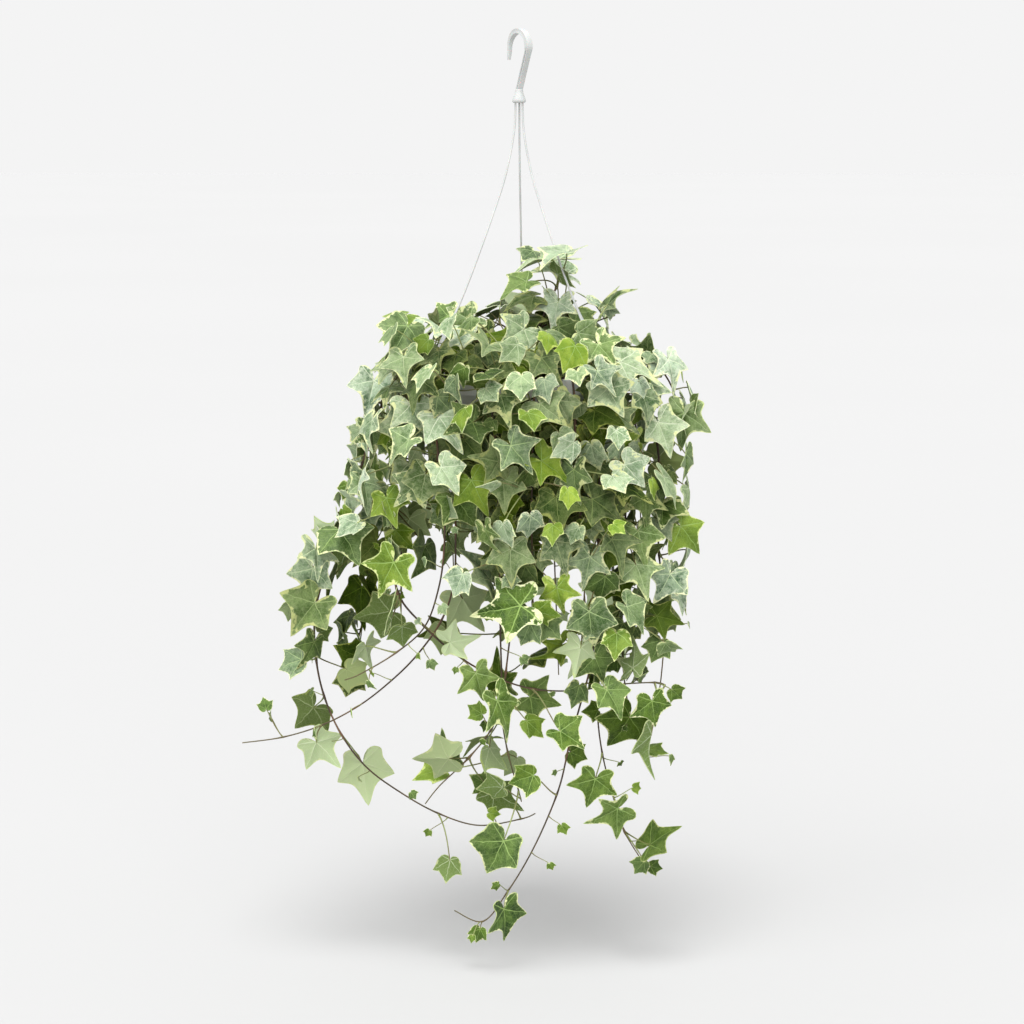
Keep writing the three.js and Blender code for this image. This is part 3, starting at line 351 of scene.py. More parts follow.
def back_route(angle, drop, index):
    sway = 5 if index % 2 else -5
    route = [polar(76, angle, RIM_Z + 16), polar(95, angle, RIM_Z + 2)]
    for k, height in enumerate([-40, -drop * 0.55, -drop]):
        route.append(polar(102 + 2 * k, angle + sway * k / 2, RIM_Z + height))
    return (58, angle), USUAL_LEAFY, route


def crown_route(angle, index):
    inner = 12 if index % 2 else 36
    rise = 16 if index % 2 else 0
    lift = 0.75 + 0.25 * cos(radians(angle - 60))
    arch = [(2, 12), (10, 22), (26, 26), (40, 20)]
    route = [polar(inner + out, angle, RIM_Z + (over + rise) * lift) for out, over in arch]
    return (inner, angle), USUAL_LEAFY, route


def all_routes():
    routes = dict(TRAILING)
    for k, (angle, drop) in enumerate(BACK):
        routes[f"vine_back_{k + 1}"] = back_route(angle, drop, k)
    angles = [angle + 60 + offset for angle in STRAND_ANGLES.values() for offset in CROWN_OFFSETS]
    for k, angle in enumerate(angles):
        routes[f"vine_crown_{k + 1}"] = crown_route(angle, k)
    return routes


def soil_height(radius):
    return SOIL_Z + SOIL_MOUND * (1 - min(radius / INNER_TOP_RADIUS, 1) ** 2)


def stem_corners(root, route):
    """The corners of a stem in the solid model: down in its hole, then along its route."""
    radius, angle = root
    surface = soil_height(radius)
    way = [polar(radius, angle, surface - ROOT_DEPTH), polar(radius, angle, surface + 3)]
    way += [np.array(point, float) for point in route]
    corners = way[:2]
    walked, since, last = 0.0, 0.0, way[1]
    for i in range(1, len(way) - 1):
        a, b, c, d = (way[clamp(i + k, 0, len(way) - 1)] for k in (-1, 0, 1, 2))
        for k in range(1, 13):
            point = catmull(a, b, c, d, k / 12)
            step = norm(point - last)
            walked += step
            since += step
            last = point
            if since >= (STEM_STEP / 2 if walked < CROWN_REACH else STEM_STEP):
                corners.append(point)
                since = 0.0
    if since > STEM_STEP / 4:
        corners.append(last)
    return np.array(corners)


# Blades, found in the solid model


def welded(node):
    """Points in millimetres and triangles of a node, with the points of neighbouring faces joined."""
    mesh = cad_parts[node].data
    places = np.zeros(len(mesh.vertices) * 3)
    mesh.vertices.foreach_get("co", places)
    places = places.reshape(-1, 3) / MM
    _, first, index = np.unique(np.round(places, 2), axis=0, return_index=True, return_inverse=True)
    index = index.reshape(-1)
    mesh.calc_loop_triangles()
    corners = np.zeros(len(mesh.loop_triangles) * 3, int)
    mesh.loop_triangles.foreach_get("vertices", corners)
    triangles = index[corners].reshape(-1, 3)
    whole = [t for t in triangles if len(set(t)) == 3]
    return places[first], whole


def find_blades(node):
    """Every blade is two fans round centres a blade's thickness apart, with one outline for both.

    One corner of the stalk's section meets the upper centre, and two meet the lower one.
    """
    points, triangles = welded(node)
    fans = [[] for _ in points]
    for a, b, c in triangles:
        for centre, start, end in ((a, b, c), (b, c, a), (c, a, b)):
            fans[centre].append((start, end))
    around = [set(x for pair in fan for x in pair) for fan in fans]
    hubs = [i for i in range(len(points)) if len(around[i]) >= 8]
    blades = []
    for top in hubs:
        for under in hubs:
            between = points[top] - points[under]
            shared = around[top] & around[under]
            if abs(norm(between) - BLADE_THICKNESS) > 0.01 or len(shared) < 7:
                continue
            if len(around[top] - shared) > len(around[under] - shared):
                continue
            following = {s: e for s, e in fans[top] if {s, e} <= shared}
            first = (set(following) - set(following.values())).pop()
            outline = [first]
            while outline[-1] in following:
                outline.append(following[outline[-1]])
            neck = [x for x in (around[top] | around[under]) - shared - {top, under}]
            blades.append({
                "joint": (points[top] + points[under]) / 2,
                "normal": unit(between),
                "outline": points[outline],
                "neck": points[neck].mean(axis=0),
            })
    return sorted(blades, key=lambda blade: tuple(np.round(blade["joint"], 1)))


# Shapes of a leaf

GROWN = 11  # corners in the outline of a blade with five lobes; a young one with three has 7
# Degrees that an outline swells beside a lobe's tip, on its outer side and on the one to the middle
BULGES = {(11, "lobe"): (14, 8), (11, "tip"): (12, 12), (7, "lobe"): (-8, -56), (7, "tip"): (-20, -20)}
CUTS = (0.8, 1.0)  # how far in the bays lie, as a share of the solid model's
YOUNG_SHARES = {"round": 0.84, "lobe": 1.32}  # how far out the corners of a young leaf lie
REACHES = {"notch": 0.5, "round": 0.42, "sinus": 0.34, "lobe": 0.3, "tip": 0.3}
YOUNG_REACHES = {**REACHES, "notch": 0.3, "lobe": 0.42, "tip": 0.4}
LIFTS = {"notch": 0.5, "round": 0.2, "sinus": 1.0, "lobe": -0.9, "tip": -1.0}
SWELLS = (0.02, 0.07)  # how far those lifts go, as a share of the leaf's size
FOLDS = (-0.12, 0.3)  # upwards on both sides of the middle vein
CURLS = (-0.08, 0.24)  # downwards at the tip
FRILLS = (3, 5, 8, 13)  # waves round the edge
FRILL_SHIFT = 7  # steps from a wave that lifts the edge to the one that moves it outwards
FRILL_WIDTH = 0.035
FRILL_HEIGHT = 0.075
VEIN_WIDTH = 0.045
VEIN_DEPTH = 0.02
CROWNING = 0.016  # how much the middle of a leaf stands above its joint and its edge


def tip_of(blade):
    return blade["outline"][len(blade["outline"]) // 2]


def corner_kinds(count):
    """What each corner of an outline is, for blades with five lobes and for young ones with three."""
    if count == GROWN:
        half = ["notch", "round", "sinus", "lobe", "sinus"]
    else:
        half = ["notch", "round", "lobe"]
    return half + ["tip"] + half[::-1]


def turned(way, degrees):
    turn = radians(degrees)
    rows = [[cos(turn), -sin(turn)], [sin(turn), cos(turn)]]
    return np.array(rows) @ way


def handles(kinds, flat, k):
    """Directions in which an outline arrives at a corner and leaves it, in the blade's plane."""
    out = unit(flat[k])
    if kinds[k] == "notch":
        away = unit(0.4 * out + np.array([-0.6, 0.0]))
        return -away, away
    before, after = unit(flat[k] - flat[k - 1]), unit(flat[k + 1] - flat[k])
    if kinds[k] in ("lobe", "tip"):
        outer, inner = BULGES[len(flat), kinds[k]]
        if k > len(flat) // 2:
            outer, inner = inner, outer
        return turned(before, outer), turned(after, -inner)
    smooth = unit(before + after)
    if kinds[k] == "round":
        smooth = unit(0.7 * smooth + 0.3 * np.array([-out[1], out[0]]))
    return smooth, smooth


def vein_of(kinds, edge, share):
    """The corner whose vein feeds a stretch of the outline."""
    ends = [kinds[edge], kinds[edge + 1]]
    fed = [k for k, kind in zip((edge, edge + 1), ends) if kind in ("round", "lobe", "tip")]
    return fed[0] if len(fed) == 1 or share < 0.5 else fed[1]


def leaf_edge(flat, lifts, kinds, steps):
    """A smooth outline through corners, with the height, the lift and the vein of each of its points."""
    reaches = REACHES if len(flat) == GROWN else YOUNG_REACHES
    edge, heights, swells, veins = [], [], [], []
    for k in range(len(flat) - 1):
        start, end = flat[k], flat[k + 1]
        size = norm(end - start)
        first = start + size * reaches[kinds[k]] * handles(kinds, flat, k)[1]
        second = end - size * reaches[kinds[k + 1]] * handles(kinds, flat, k + 1)[0]
        for t in np.arange(steps) / steps:
            ease = eased(t)
            edge.append(bezier(start, first, second, end, t))
            heights.append(lifts[k] * (1 - ease) + lifts[k + 1] * ease)
            swells.append(LIFTS[kinds[k]] * (1 - ease) + LIFTS[kinds[k + 1]] * ease)
            veins.append(vein_of(kinds, k, t))
    edge.append(flat[-1])
    heights.append(lifts[-1])
    swells.append(LIFTS[kinds[-1]])
    return np.array(edge), np.array(heights), np.array(swells), veins


def leaf_shape(blade, random):
    """The middle surface of a leaf as a grid of rows from joint to edge, with what its colours need."""
    joint, normal = blade["joint"], blade["normal"]
    away = blade["outline"] - joint
    tip = away[len(away) // 2]
    along = square_to(tip, normal)
    length = tip @ along
    across = np.cross(normal, along)
    kinds = corner_kinds(len(away))
    steps, rows = FINE if length > FINE_LENGTH else PLAIN
    shares = {"sinus": random.uniform(*CUTS)} if len(away) == GROWN else YOUNG_SHARES
    flat = np.stack([away @ along, away @ across], axis=1)
    flat = np.array([place * shares.get(kind, 1) for place, kind in zip(flat, kinds)])
    edge, lifts, swells, veins = leaf_edge(flat, away @ normal, kinds, steps)
    turn = np.linspace(0, 1, len(edge))
    frill = np.zeros(len(edge))
    for waves in FRILLS:
        frill += random.uniform(-1, 1) * np.sin(2 * np.pi * (waves * turn + random.random())) / waves
    size = norm(edge, axis=1) / length
    edge = edge * (1 + FRILL_WIDTH * np.roll(frill, FRILL_SHIFT))[:, None]
    rows = np.array(rows)[:, None]
    places = rows[:, :, None] * edge[None, :, :]
    swell = random.uniform(*SWELLS) * swells
    height = lifts * rows**1.35
    height = height + length * size * (FRILL_HEIGHT * frill * rows**2.2 + swell * rows**2.6)
    fold, curl = random.uniform(*FOLDS), random.uniform(*CURLS)
    ahead_share = np.clip(places[..., 0] / length, 0, 1)
    height = height + fold * np.abs(places[..., 1]) - curl * length * ahead_share**2.5
    vein_ways = np.array([unit(place) for place in flat])
    for way, kind in zip(vein_ways, kinds):
        if kind in ("notch", "sinus"):
            continue
        beside = places @ np.array([-way[1], way[0]])
        near = np.exp(-((beside / (VEIN_WIDTH * length)) ** 2)) * (places @ way > 0)
        height = height - VEIN_DEPTH * length * near * np.sqrt(rows) * (1 - rows**2)
    height = height + np.sin(np.pi * rows) * CROWNING * length
    surface = joint + places[..., :1] * along + places[..., 1:] * across + height[..., None] * normal
    gaps = norm(places[:, :, None, :] - edge[None, None, :, :], axis=3).min(axis=2)
    return {
        "surface": surface, "normal": normal, "places": places / length, "rim": gaps / length,
        "veins": veins, "vein_ways": vein_ways, "length": length,
    }


def surface_normals(surface, normal):
    """Unit normals of a grid, from its neighbours."""
    down = np.gradient(surface, axis=0)
    side = np.gradient(surface, axis=1)
    cross = np.cross(down, side)
    size = norm(cross, axis=2, keepdims=True)
    cross = np.where(size > 1e-6, cross / np.maximum(size, 1e-6), normal)
    facing = np.sign((cross * normal).sum(axis=2, keepdims=True))
    cross = cross * np.where(facing == 0, 1, facing)
    cross[0] = normal
    return cross


# What the shaders read at each point or corner of a vine
ATTRIBUTES = {
    "place": ("FLOAT_VECTOR", "POINT", "vector"),
    "tone": ("FLOAT_COLOR", "POINT", "color"),
    "rim": ("FLOAT", "POINT", "value"),
    # depth: how much painted shade a point gets under other leaves
    "depth": ("FLOAT", "POINT", "value"),
    "veins": ("FLOAT_VECTOR", "CORNER", "vector"),
}
BLADE, STEM = 0, 1  # the materials of a vine


class Foliage:
    """Collects the points and faces of one vine, with what the shaders read there."""

    def __init__(self):
        self.points, self.faces, self.surfaces = [], [], []
        self.values = {name: [] for name in ATTRIBUTES}

    def add_points(self, points, places, tones, rims, depth):
        first = len(self.points)
        self.points.extend(points)
        # depth is the amount of painted shade these points get
        rows = {"place": places, "tone": tones, "rim": rims, "depth": [depth] * len(points)}
        for name, values in rows.items():
            self.values[name].extend(values)
        return first

    def add_face(self, corners, surface, veins=None):
        self.faces.append(corners)
        self.surfaces.append(surface)
        self.values["veins"].extend(veins or [(0.0, 0.0, 0.0)] * len(corners))

    def add_leaf(self, shape, tone):
        """Upper and lower face of a blade and the thin rim that joins them."""
        rows, columns = shape["rim"].shape
        offset = surface_normals(shape["surface"], shape["normal"]) * LEAF_HALF
        spare = columns - 1  # the first row is the joint alone
        places = [(x, y, tone["seed"]) for x, y in shape["places"].reshape(-1, 2)[spare:].tolist()]
        rims = shape["rim"].reshape(-1)[spare:].tolist()
        colours = [tone["silver"], tone["young"], tone["cream"]]
        firsts = []
        for side, under in ((1, 0.0), (-1, 1.0)):
            points = (shape["surface"] + offset * side).reshape(-1, 3)[spare:].tolist()
            tones = [[*colours, under]] * len(points)
            firsts.append(self.add_points(points, places, tones, rims, tone["depth"]))
        for side, first in zip((1, -1), firsts):
            for j in range(columns - 1):
                ahead = shape["vein_ways"][shape["veins"][j]]
                beside = np.array([-ahead[1], ahead[0]])
                for i in range(rows - 1):
                    grid = [(i, j), (i + 1, j), (i + 1, j + 1), (i, j + 1)]
                    grid = (grid if i else [(0, 0), *grid[1:3]])[::side]
                    corners = [first + (1 + (a - 1) * columns + b if a else 0) for a, b in grid]
                    spots = [shape["places"][a, b] for a, b in grid]
                    veins = [(float(spot @ ahead), float(spot @ beside), 0.0) for spot in spots]
                    self.add_face(corners, BLADE, veins)
        top, under = firsts
        loop = [0] + [1 + i * columns for i in range(rows - 1)]
        loop += [1 + (rows - 2) * columns + j for j in range(1, columns)]
        loop += [(i + 1) * columns for i in range(rows - 3, -1, -1)]
        for a, b in zip(loop, loop[1:] + loop[:1]):
            self.add_face([top + b, top + a, under + a, under + b], BLADE)

    def add_tube(self, line, radii, sides, kind, seed, depth):
        """A closed tube along a line. Its shader gets the place round it, along it, its kind, and how much
        painted shade it gets.
        """
        ways, lengths, turns = directions(line), distances(line), circle(sides)
        side = square_to(np.array([1.0, 0, 0] if abs(ways[0][2]) > 0.9 else [0, 0, 1.0]), ways[0])
        points, places, tones = [], [], []
        for place, way, radius, along in zip(line, ways, radii, lengths):
            side = square_to(side, way)
            ring = np.cos(turns)[:, None] * side + np.sin(turns)[:, None] * np.cross(way, side)
            points.extend((place + ring * radius).tolist())
            places.extend((cos(turn), sin(turn), seed + along / 10) for turn in turns)
            tones.extend([(along / lengths[-1], kind, 0.0, 0.0)] * sides)
        first = self.add_points(points, places, tones, [0.0] * len(points), depth)
        for face in tube_faces(len(line), sides, first):
            self.add_face(face, STEM)

    def piece(self, name, materials, node):
        mesh = new_mesh(name, self.points, self.faces)
        for key, (kind, domain, field) in ATTRIBUTES.items():
            values = np.array(self.values[key], np.float32).ravel()
            mesh.attributes.new(key, kind, domain).data.foreach_set(field, values)
        finish_piece(mesh, materials, self.surfaces, VINE_SHARP, node)
        mesh.validate()


# Vines

GREEN_BELOW = -560.0  # leaves that hang lower are green
SILVER_RISE = 170.0  # and they turn silver over this height
SHADOW_REACH = 22.0  # how far a leaf's painted shade reaches onto others beside it
YOUNG_CORNERS = [(146, 0.13), (106, 0.48), (53, 0.68), (0, 1)]  # degrees from the tip, and reach


def outward(place):
    """The way out of the foliage from a place in it: away from the axis, and upwards in the crown."""
    rise = clamp((place[2] - RIM_Z + 20) / 50)
    flat = np.array([place[0], place[1], 0])
    return unit(flat / max(np.hypot(place[0], place[1]), 1) + [0, 0, 1.6 * rise])


def painted_shade_of(place, centres):
    """How deep a place lies under the leaves, which sets how much painted shade it gets: 0 at the outside,
    near 1 under several of them.
    """
    way = outward(place)
    offsets = centres - place
    ahead = offsets @ way
    beside = norm(offsets - ahead[:, None] * way, axis=1)
    over = np.exp(-((beside / SHADOW_REACH) ** 2)) * (ahead > 5)
    return 1 - math.exp(-0.8 * over.sum())


def leaf_tone(place, length, centres, random):
    """How silver, young and cream-edged a leaf is, from where it hangs and its size, and how much painted
    shade it gets under other leaves.
    """
    upper = clamp((place[2] - GREEN_BELOW) / SILVER_RISE)
    young = random.random() < 0.07 + (0.12 if length < 24 else 0)
    silver = clamp(upper * random.uniform(0.05, 1.3) + random.uniform(-0.12, 0.1))
    return {
        "silver": 0.0 if young else silver,
        "young": random.uniform(0.5, 1) if young else random.uniform(0, 0.35),
        "cream": random.uniform(0.3, 1) ** 2 * (0.45 + 0.55 * upper),
        "seed": random.uniform(0, 60),
        # painted shade from the leaves further out
        "depth": clamp(painted_shade_of(place, centres) + random.uniform(-0.12, 0.12)),
    }


def nearest_on_stem(corners, joint, way):
    """The place on a stem's straight pieces that a stalk points at, as a corner number and a share."""
    nearest, found = math.inf, 1.0
    for i in range(1, len(corners) - 1):
        piece = corners[i + 1] - corners[i]
        cross = np.cross(way, piece)
        size = cross @ cross
        if size < 1e-9:
            continue
        offset = corners[i] - joint
        share = np.clip(-(np.cross(offset, way) @ cross) / size, 0, 1)
        place = corners[i] + share * piece
        reach = (place - joint) @ way
        gap = norm(place - joint - reach * way) + 0.002 * reach
        if reach > 3 and gap < nearest:
            nearest, found = gap, i + share
    return found


def stalk_line(root, joint, along_stem, blade_way):
    """A stalk that leaves its stem at a slant and bends into its blade."""
    span = joint - root
    length = norm(span)
    way = span / length
    first = root + 0.34 * length * unit(way + 0.35 * along_stem + np.array([0, 0, 0.12]))
    second = joint - 0.3 * length * unit(way + 0.45 * blade_way)
    return bezier(root, first, second, joint, np.linspace(0, 1, STALK_STEPS)[:, None])


def small_blade(joint, normal, tip, length, random):
    """A young blade with three lobes, in the form in which the large ones are found."""
    along = square_to(tip, normal)
    across = np.cross(normal, along)
    wide, lift = random.uniform(0.8, 1.05), random.uniform(-0.1, 0.3)
    outline = []
    for side, corners in ((-1, YOUNG_CORNERS), (1, YOUNG_CORNERS[-2::-1])):
        for degrees, share in corners:
            reach, turn = length * share, radians(degrees)
            beside = side * wide * reach * sin(turn)
            raised = lift * abs(beside) - 0.15 * reach * share
            outline.append(joint + along * reach * cos(turn) + across * beside + normal * raised)
    return {"joint": joint, "normal": normal, "outline": np.array(outline)}


def pot_radius(z):
    """How far out the pot reaches at a height."""
    if z > RIM_Z - RIM_BAND - 3:
        return RIM_RADIUS
    share = min((RIM_Z - z) / POT_HEIGHT, 1)
    return WALL_TOP_RADIUS + (BASE_RADIUS - WALL_TOP_RADIUS) * share


def place_small(root, way, lengths, stalks, random):
    """A small blade on a stalk from one place of a stem. In front of the pot it keeps clear of it."""
    out = outward(root)
    turn = random.uniform(-1.4, 1.4)
    side = np.cross(way, square_to(out, way))
    stalk = unit(cos(turn) * out + sin(turn) * side + random.uniform(-0.5, 0.5) * way)
    joint = root + stalk * random.uniform(*stalks)
    normal = unit(out + random.uniform(-0.8, 0.8) * side + random.uniform(-0.5, 0.6) * way)
    tip = unit(stalk + np.array([0, 0, -0.8]) + random.uniform(-0.6, 0.6) * side)
    length = random.uniform(*lengths)
    inside = RIM_RADIUS + POT_CLEAR - np.hypot(*joint[:2])
    if inside > 0 and joint[2] < RIM_Z + 4:
        joint = joint + out * inside
        normal = unit(out + 0.25 * normal)
    return small_blade(joint, normal, tip, length, random)


def place_on_wall(root, random):
    """A small blade that lies against the pot beside its stem, under the large ones."""
    angle = math.degrees(math.atan2(root[1], root[0])) + random.choice([-1, 1]) * random.uniform(3, 17)
    out, across = polar(1, angle, 0), polar(1, angle + 90, 0)
    z = root[2] - random.uniform(4, 22)
    joint = out * (pot_radius(z) + random.uniform(3, 9)) + np.array([0, 0, z])
    lean = random.uniform(-0.15, 0.15) * across
    normal = unit(out + lean + np.array([0, 0, random.uniform(0.05, 0.35)]))
    tip = unit(np.array([0, 0, -1.0]) + random.uniform(-0.7, 0.7) * across)
    return small_blade(joint, normal, tip, random.uniform(*WALL_LENGTHS), random)


def before_wall(place):
    """Whether a place of a stem lies just before the pot's wall."""
    return RIM_Z - POT_HEIGHT < place[2] < RIM_Z - 6 and 0 < np.hypot(*place[:2]) - RIM_RADIUS < WALL_REACH


def fill_blades(line, leafy, large, random):
    """Small leaves along a stem, each with the place of its stalk, where they keep clear of large ones."""
    lengths = distances(line)
    joints = np.array([blade["joint"] for blade in large])
    normals = np.array([blade["normal"] for blade in large])
    spans = np.array([tip_of(blade) for blade in large]) - joints
    sizes = norm(spans, axis=1)
    leafy = min(leafy, lengths[-1])
    end = lengths[-1] - BARE_END
    places = [(along, FILL_LENGTHS, FILL_STALKS) for along in np.arange(ROOT_DEPTH + 8, leafy, FILL_STEP)]
    places += [(along, SPROUT_LENGTHS, SPROUT_STALKS) for along in np.arange(leafy, end, SPROUT_STEP)]
    places += [(along, None, None) for along in np.arange(0, end, WALL_STEP)]
    found = []
    for along, sizes_here, stalks in places:
        at = np.searchsorted(lengths, along + random.uniform(-3, 3))
        at = clamp(at, 1, len(line) - 2)
        root, way = line[at], unit(line[at + 1] - line[at - 1])
        if sizes_here:
            blade = place_small(root, way, sizes_here, stalks, random)
        elif before_wall(root):
            blade = place_on_wall(root, random)
        else:
            continue
        span = tip_of(blade) - blade["joint"]
        offsets = blade["joint"] + 0.4 * span - (joints + 0.35 * spans)
        off_plane = np.abs((offsets * normals).sum(axis=1))
        near = norm(offsets, axis=1) < 0.55 * sizes + 0.4 * norm(span)
        if not np.any(near & (off_plane < FILL_CLEAR)):
            found.append((blade, root, way))
    return found


def add_blade(foliage, blade, start, along, centres, random):
    """A leaf, and the stalk from its stem to its joint."""
    shape = leaf_shape(blade, random)
    length = shape["length"]
    tone = leaf_tone(blade["joint"], length, centres, random)
    foliage.add_leaf(shape, tone)
    ahead = square_to(tip_of(blade) - blade["joint"], blade["normal"])
    stalk = stalk_line(start, blade["joint"] + 0.8 * ahead, along, ahead)
    shares = np.linspace(0, 1, STALK_STEPS)
    radii = STALK_RADIUS * min(0.5 + length / 50, 1) * (1 + 0.7 * np.exp(-9 * shares) - 0.12 * shares)
    # the stalk gets its leaf's painted shade
    foliage.add_tube(stalk, radii, STALK_SIDES, 1.0, tone["seed"], tone["depth"])


def make_vine(name, number, corners, leafy, large, materials):
    random = np.random.RandomState(FIRST_SEED + number)
    centres = np.array([0.65 * blade["joint"] + 0.35 * blade["outline"][5] for blade in large])
    foliage = Foliage()
    line = smooth_line(corners, STEM_STEPS)
    knots = []
    for blade in [blade for blade in large if blade["vine"] == name]:
        way = unit(blade["neck"] - blade["joint"])
        at = nearest_on_stem(corners, blade["joint"], way) * STEM_STEPS
        low = min(int(at), len(line) - 2)
        start = line[low] * (1 - (at - low)) + line[low + 1] * (at - low)
        knots.append(at)
        add_blade(foliage, blade, start, unit(line[low + 1] - line[low]), centres, random)
    for blade, start, along in fill_blades(line, leafy, large, random):
        add_blade(foliage, blade, start, along, centres, random)
    shares = np.linspace(0, 1, len(line))
    radii = STEM_ROOT_RADIUS + (STEM_TIP_RADIUS - STEM_ROOT_RADIUS) * shares
    for at in knots:
        radii = radii + KNOT * np.exp(-((np.arange(len(line)) - at) ** 2) / 0.8) * (1 - 0.5 * shares)
    # the stem gets no painted shade
    foliage.add_tube(line, radii, STEM_SIDES, 0.0, number * 7.3, 0.0)
    foliage.piece("ivy_" + name.removeprefix("vine_"), materials, name)


# Shader graphs


class Graph:
    """A material with one Principled shader, and short calls for the nodes that feed it."""

    def __init__(self, name, **constants):
        self.material = bpy.data.materials.new(name)
        self.material.use_nodes = True
        self.tree = self.material.node_tree
        self.shader = next(n for n in self.tree.nodes if n.type == "BSDF_PRINCIPLED")
        for socket, value in constants.items():
            self.shader.inputs[socket.replace("_", " ")].default_value = value

    def node(self, kind, inputs=(), **settings):
        node = self.tree.nodes.new("ShaderNode" + kind)
        for name, value in settings.items():
            setattr(node, name, value)
        for key, value in dict(inputs).items():
            self.feed(node.inputs[key], value)
        return node

    def feed(self, socket, value):
        if isinstance(value, bpy.types.NodeSocket):
            self.tree.links.new(value, socket)
        else:
            socket.default_value = value

    def out(self, **sockets):
        for name, value in sockets.items():
            self.feed(self.shader.inputs[name.replace("_", " ")], value)
        return self.material

    def math(self, operation, a, b=0.0):
        return self.node("Math", {0: a, 1: b}, operation=operation).outputs[0]

    def times(self, a, b):
        return self.math("MULTIPLY", a, b)

    def plus(self, a, b):
        return self.math("ADD", a, b)

    def rest(self, share):
        """What a share leaves of the whole."""
        return self.math("SUBTRACT", 1.0, share)

    def mix(self, share, a, b, blend="MIX"):
        node = self.node("Mix", {0: share, 6: a, 7: b}, data_type="RGBA", blend_type=blend)
        return node.outputs[2]

    def span(self, value, low, high, start=0.0, end=1.0):
        """Eases from start to end while the value goes from low to high."""
        inputs = {"Value": value, 1: low, 2: high, 3: start, 4: end}
        return self.node("MapRange", inputs, interpolation_type="SMOOTHSTEP").outputs[0]

    def noise(self, place, scale, detail=2.0, rough=0.5, warp=0.0):
        inputs = {"Vector": place, "Scale": scale, "Detail": detail, "Roughness": rough, "Distortion": warp}
        return self.node("TexNoise", inputs).outputs["Fac"]

    def cells(self, place, scale, feature="F1"):
        node = self.node("TexVoronoi", {"Vector": place, "Scale": scale}, feature=feature)
        return node.outputs["Distance"]

    def stretched(self, place, sizes):
        return self.node("Mapping", {"Vector": place, "Scale": sizes}).outputs[0]

    def attribute(self, name, output="Vector"):
        return self.node("Attribute", attribute_name=name).outputs[output]

    def object_place(self):
        return self.node("TexCoord").outputs["Object"]

    def finish(self, colour, rough, height, strength, distance, **sockets):
        """Feeds the shader its colour, its roughness and a relief, and whatever else is given."""
        bump = self.node("Bump", {"Height": height, "Strength": strength, "Distance": distance})
        return self.out(Base_Color=colour, Roughness=rough, Normal=bump.outputs[0], **sockets)


PAINTED_SHADE_COLOUR = (0.25, 0.27, 0.08, 1)  # painted shade: what is left of a leaf's colour deep under other leaves


def add_painted_shade(g, colour):
    """Paints shade: darkens a colour where it lies under other leaves, and says how much gloss is left
    there.
    """
    depth = g.attribute("depth", "Fac")
    return g.mix(depth, colour, g.mix(1.0, colour, PAINTED_SHADE_COLOUR, "MULTIPLY")), g.span(depth, 0, 1, 0.24, 0.04)


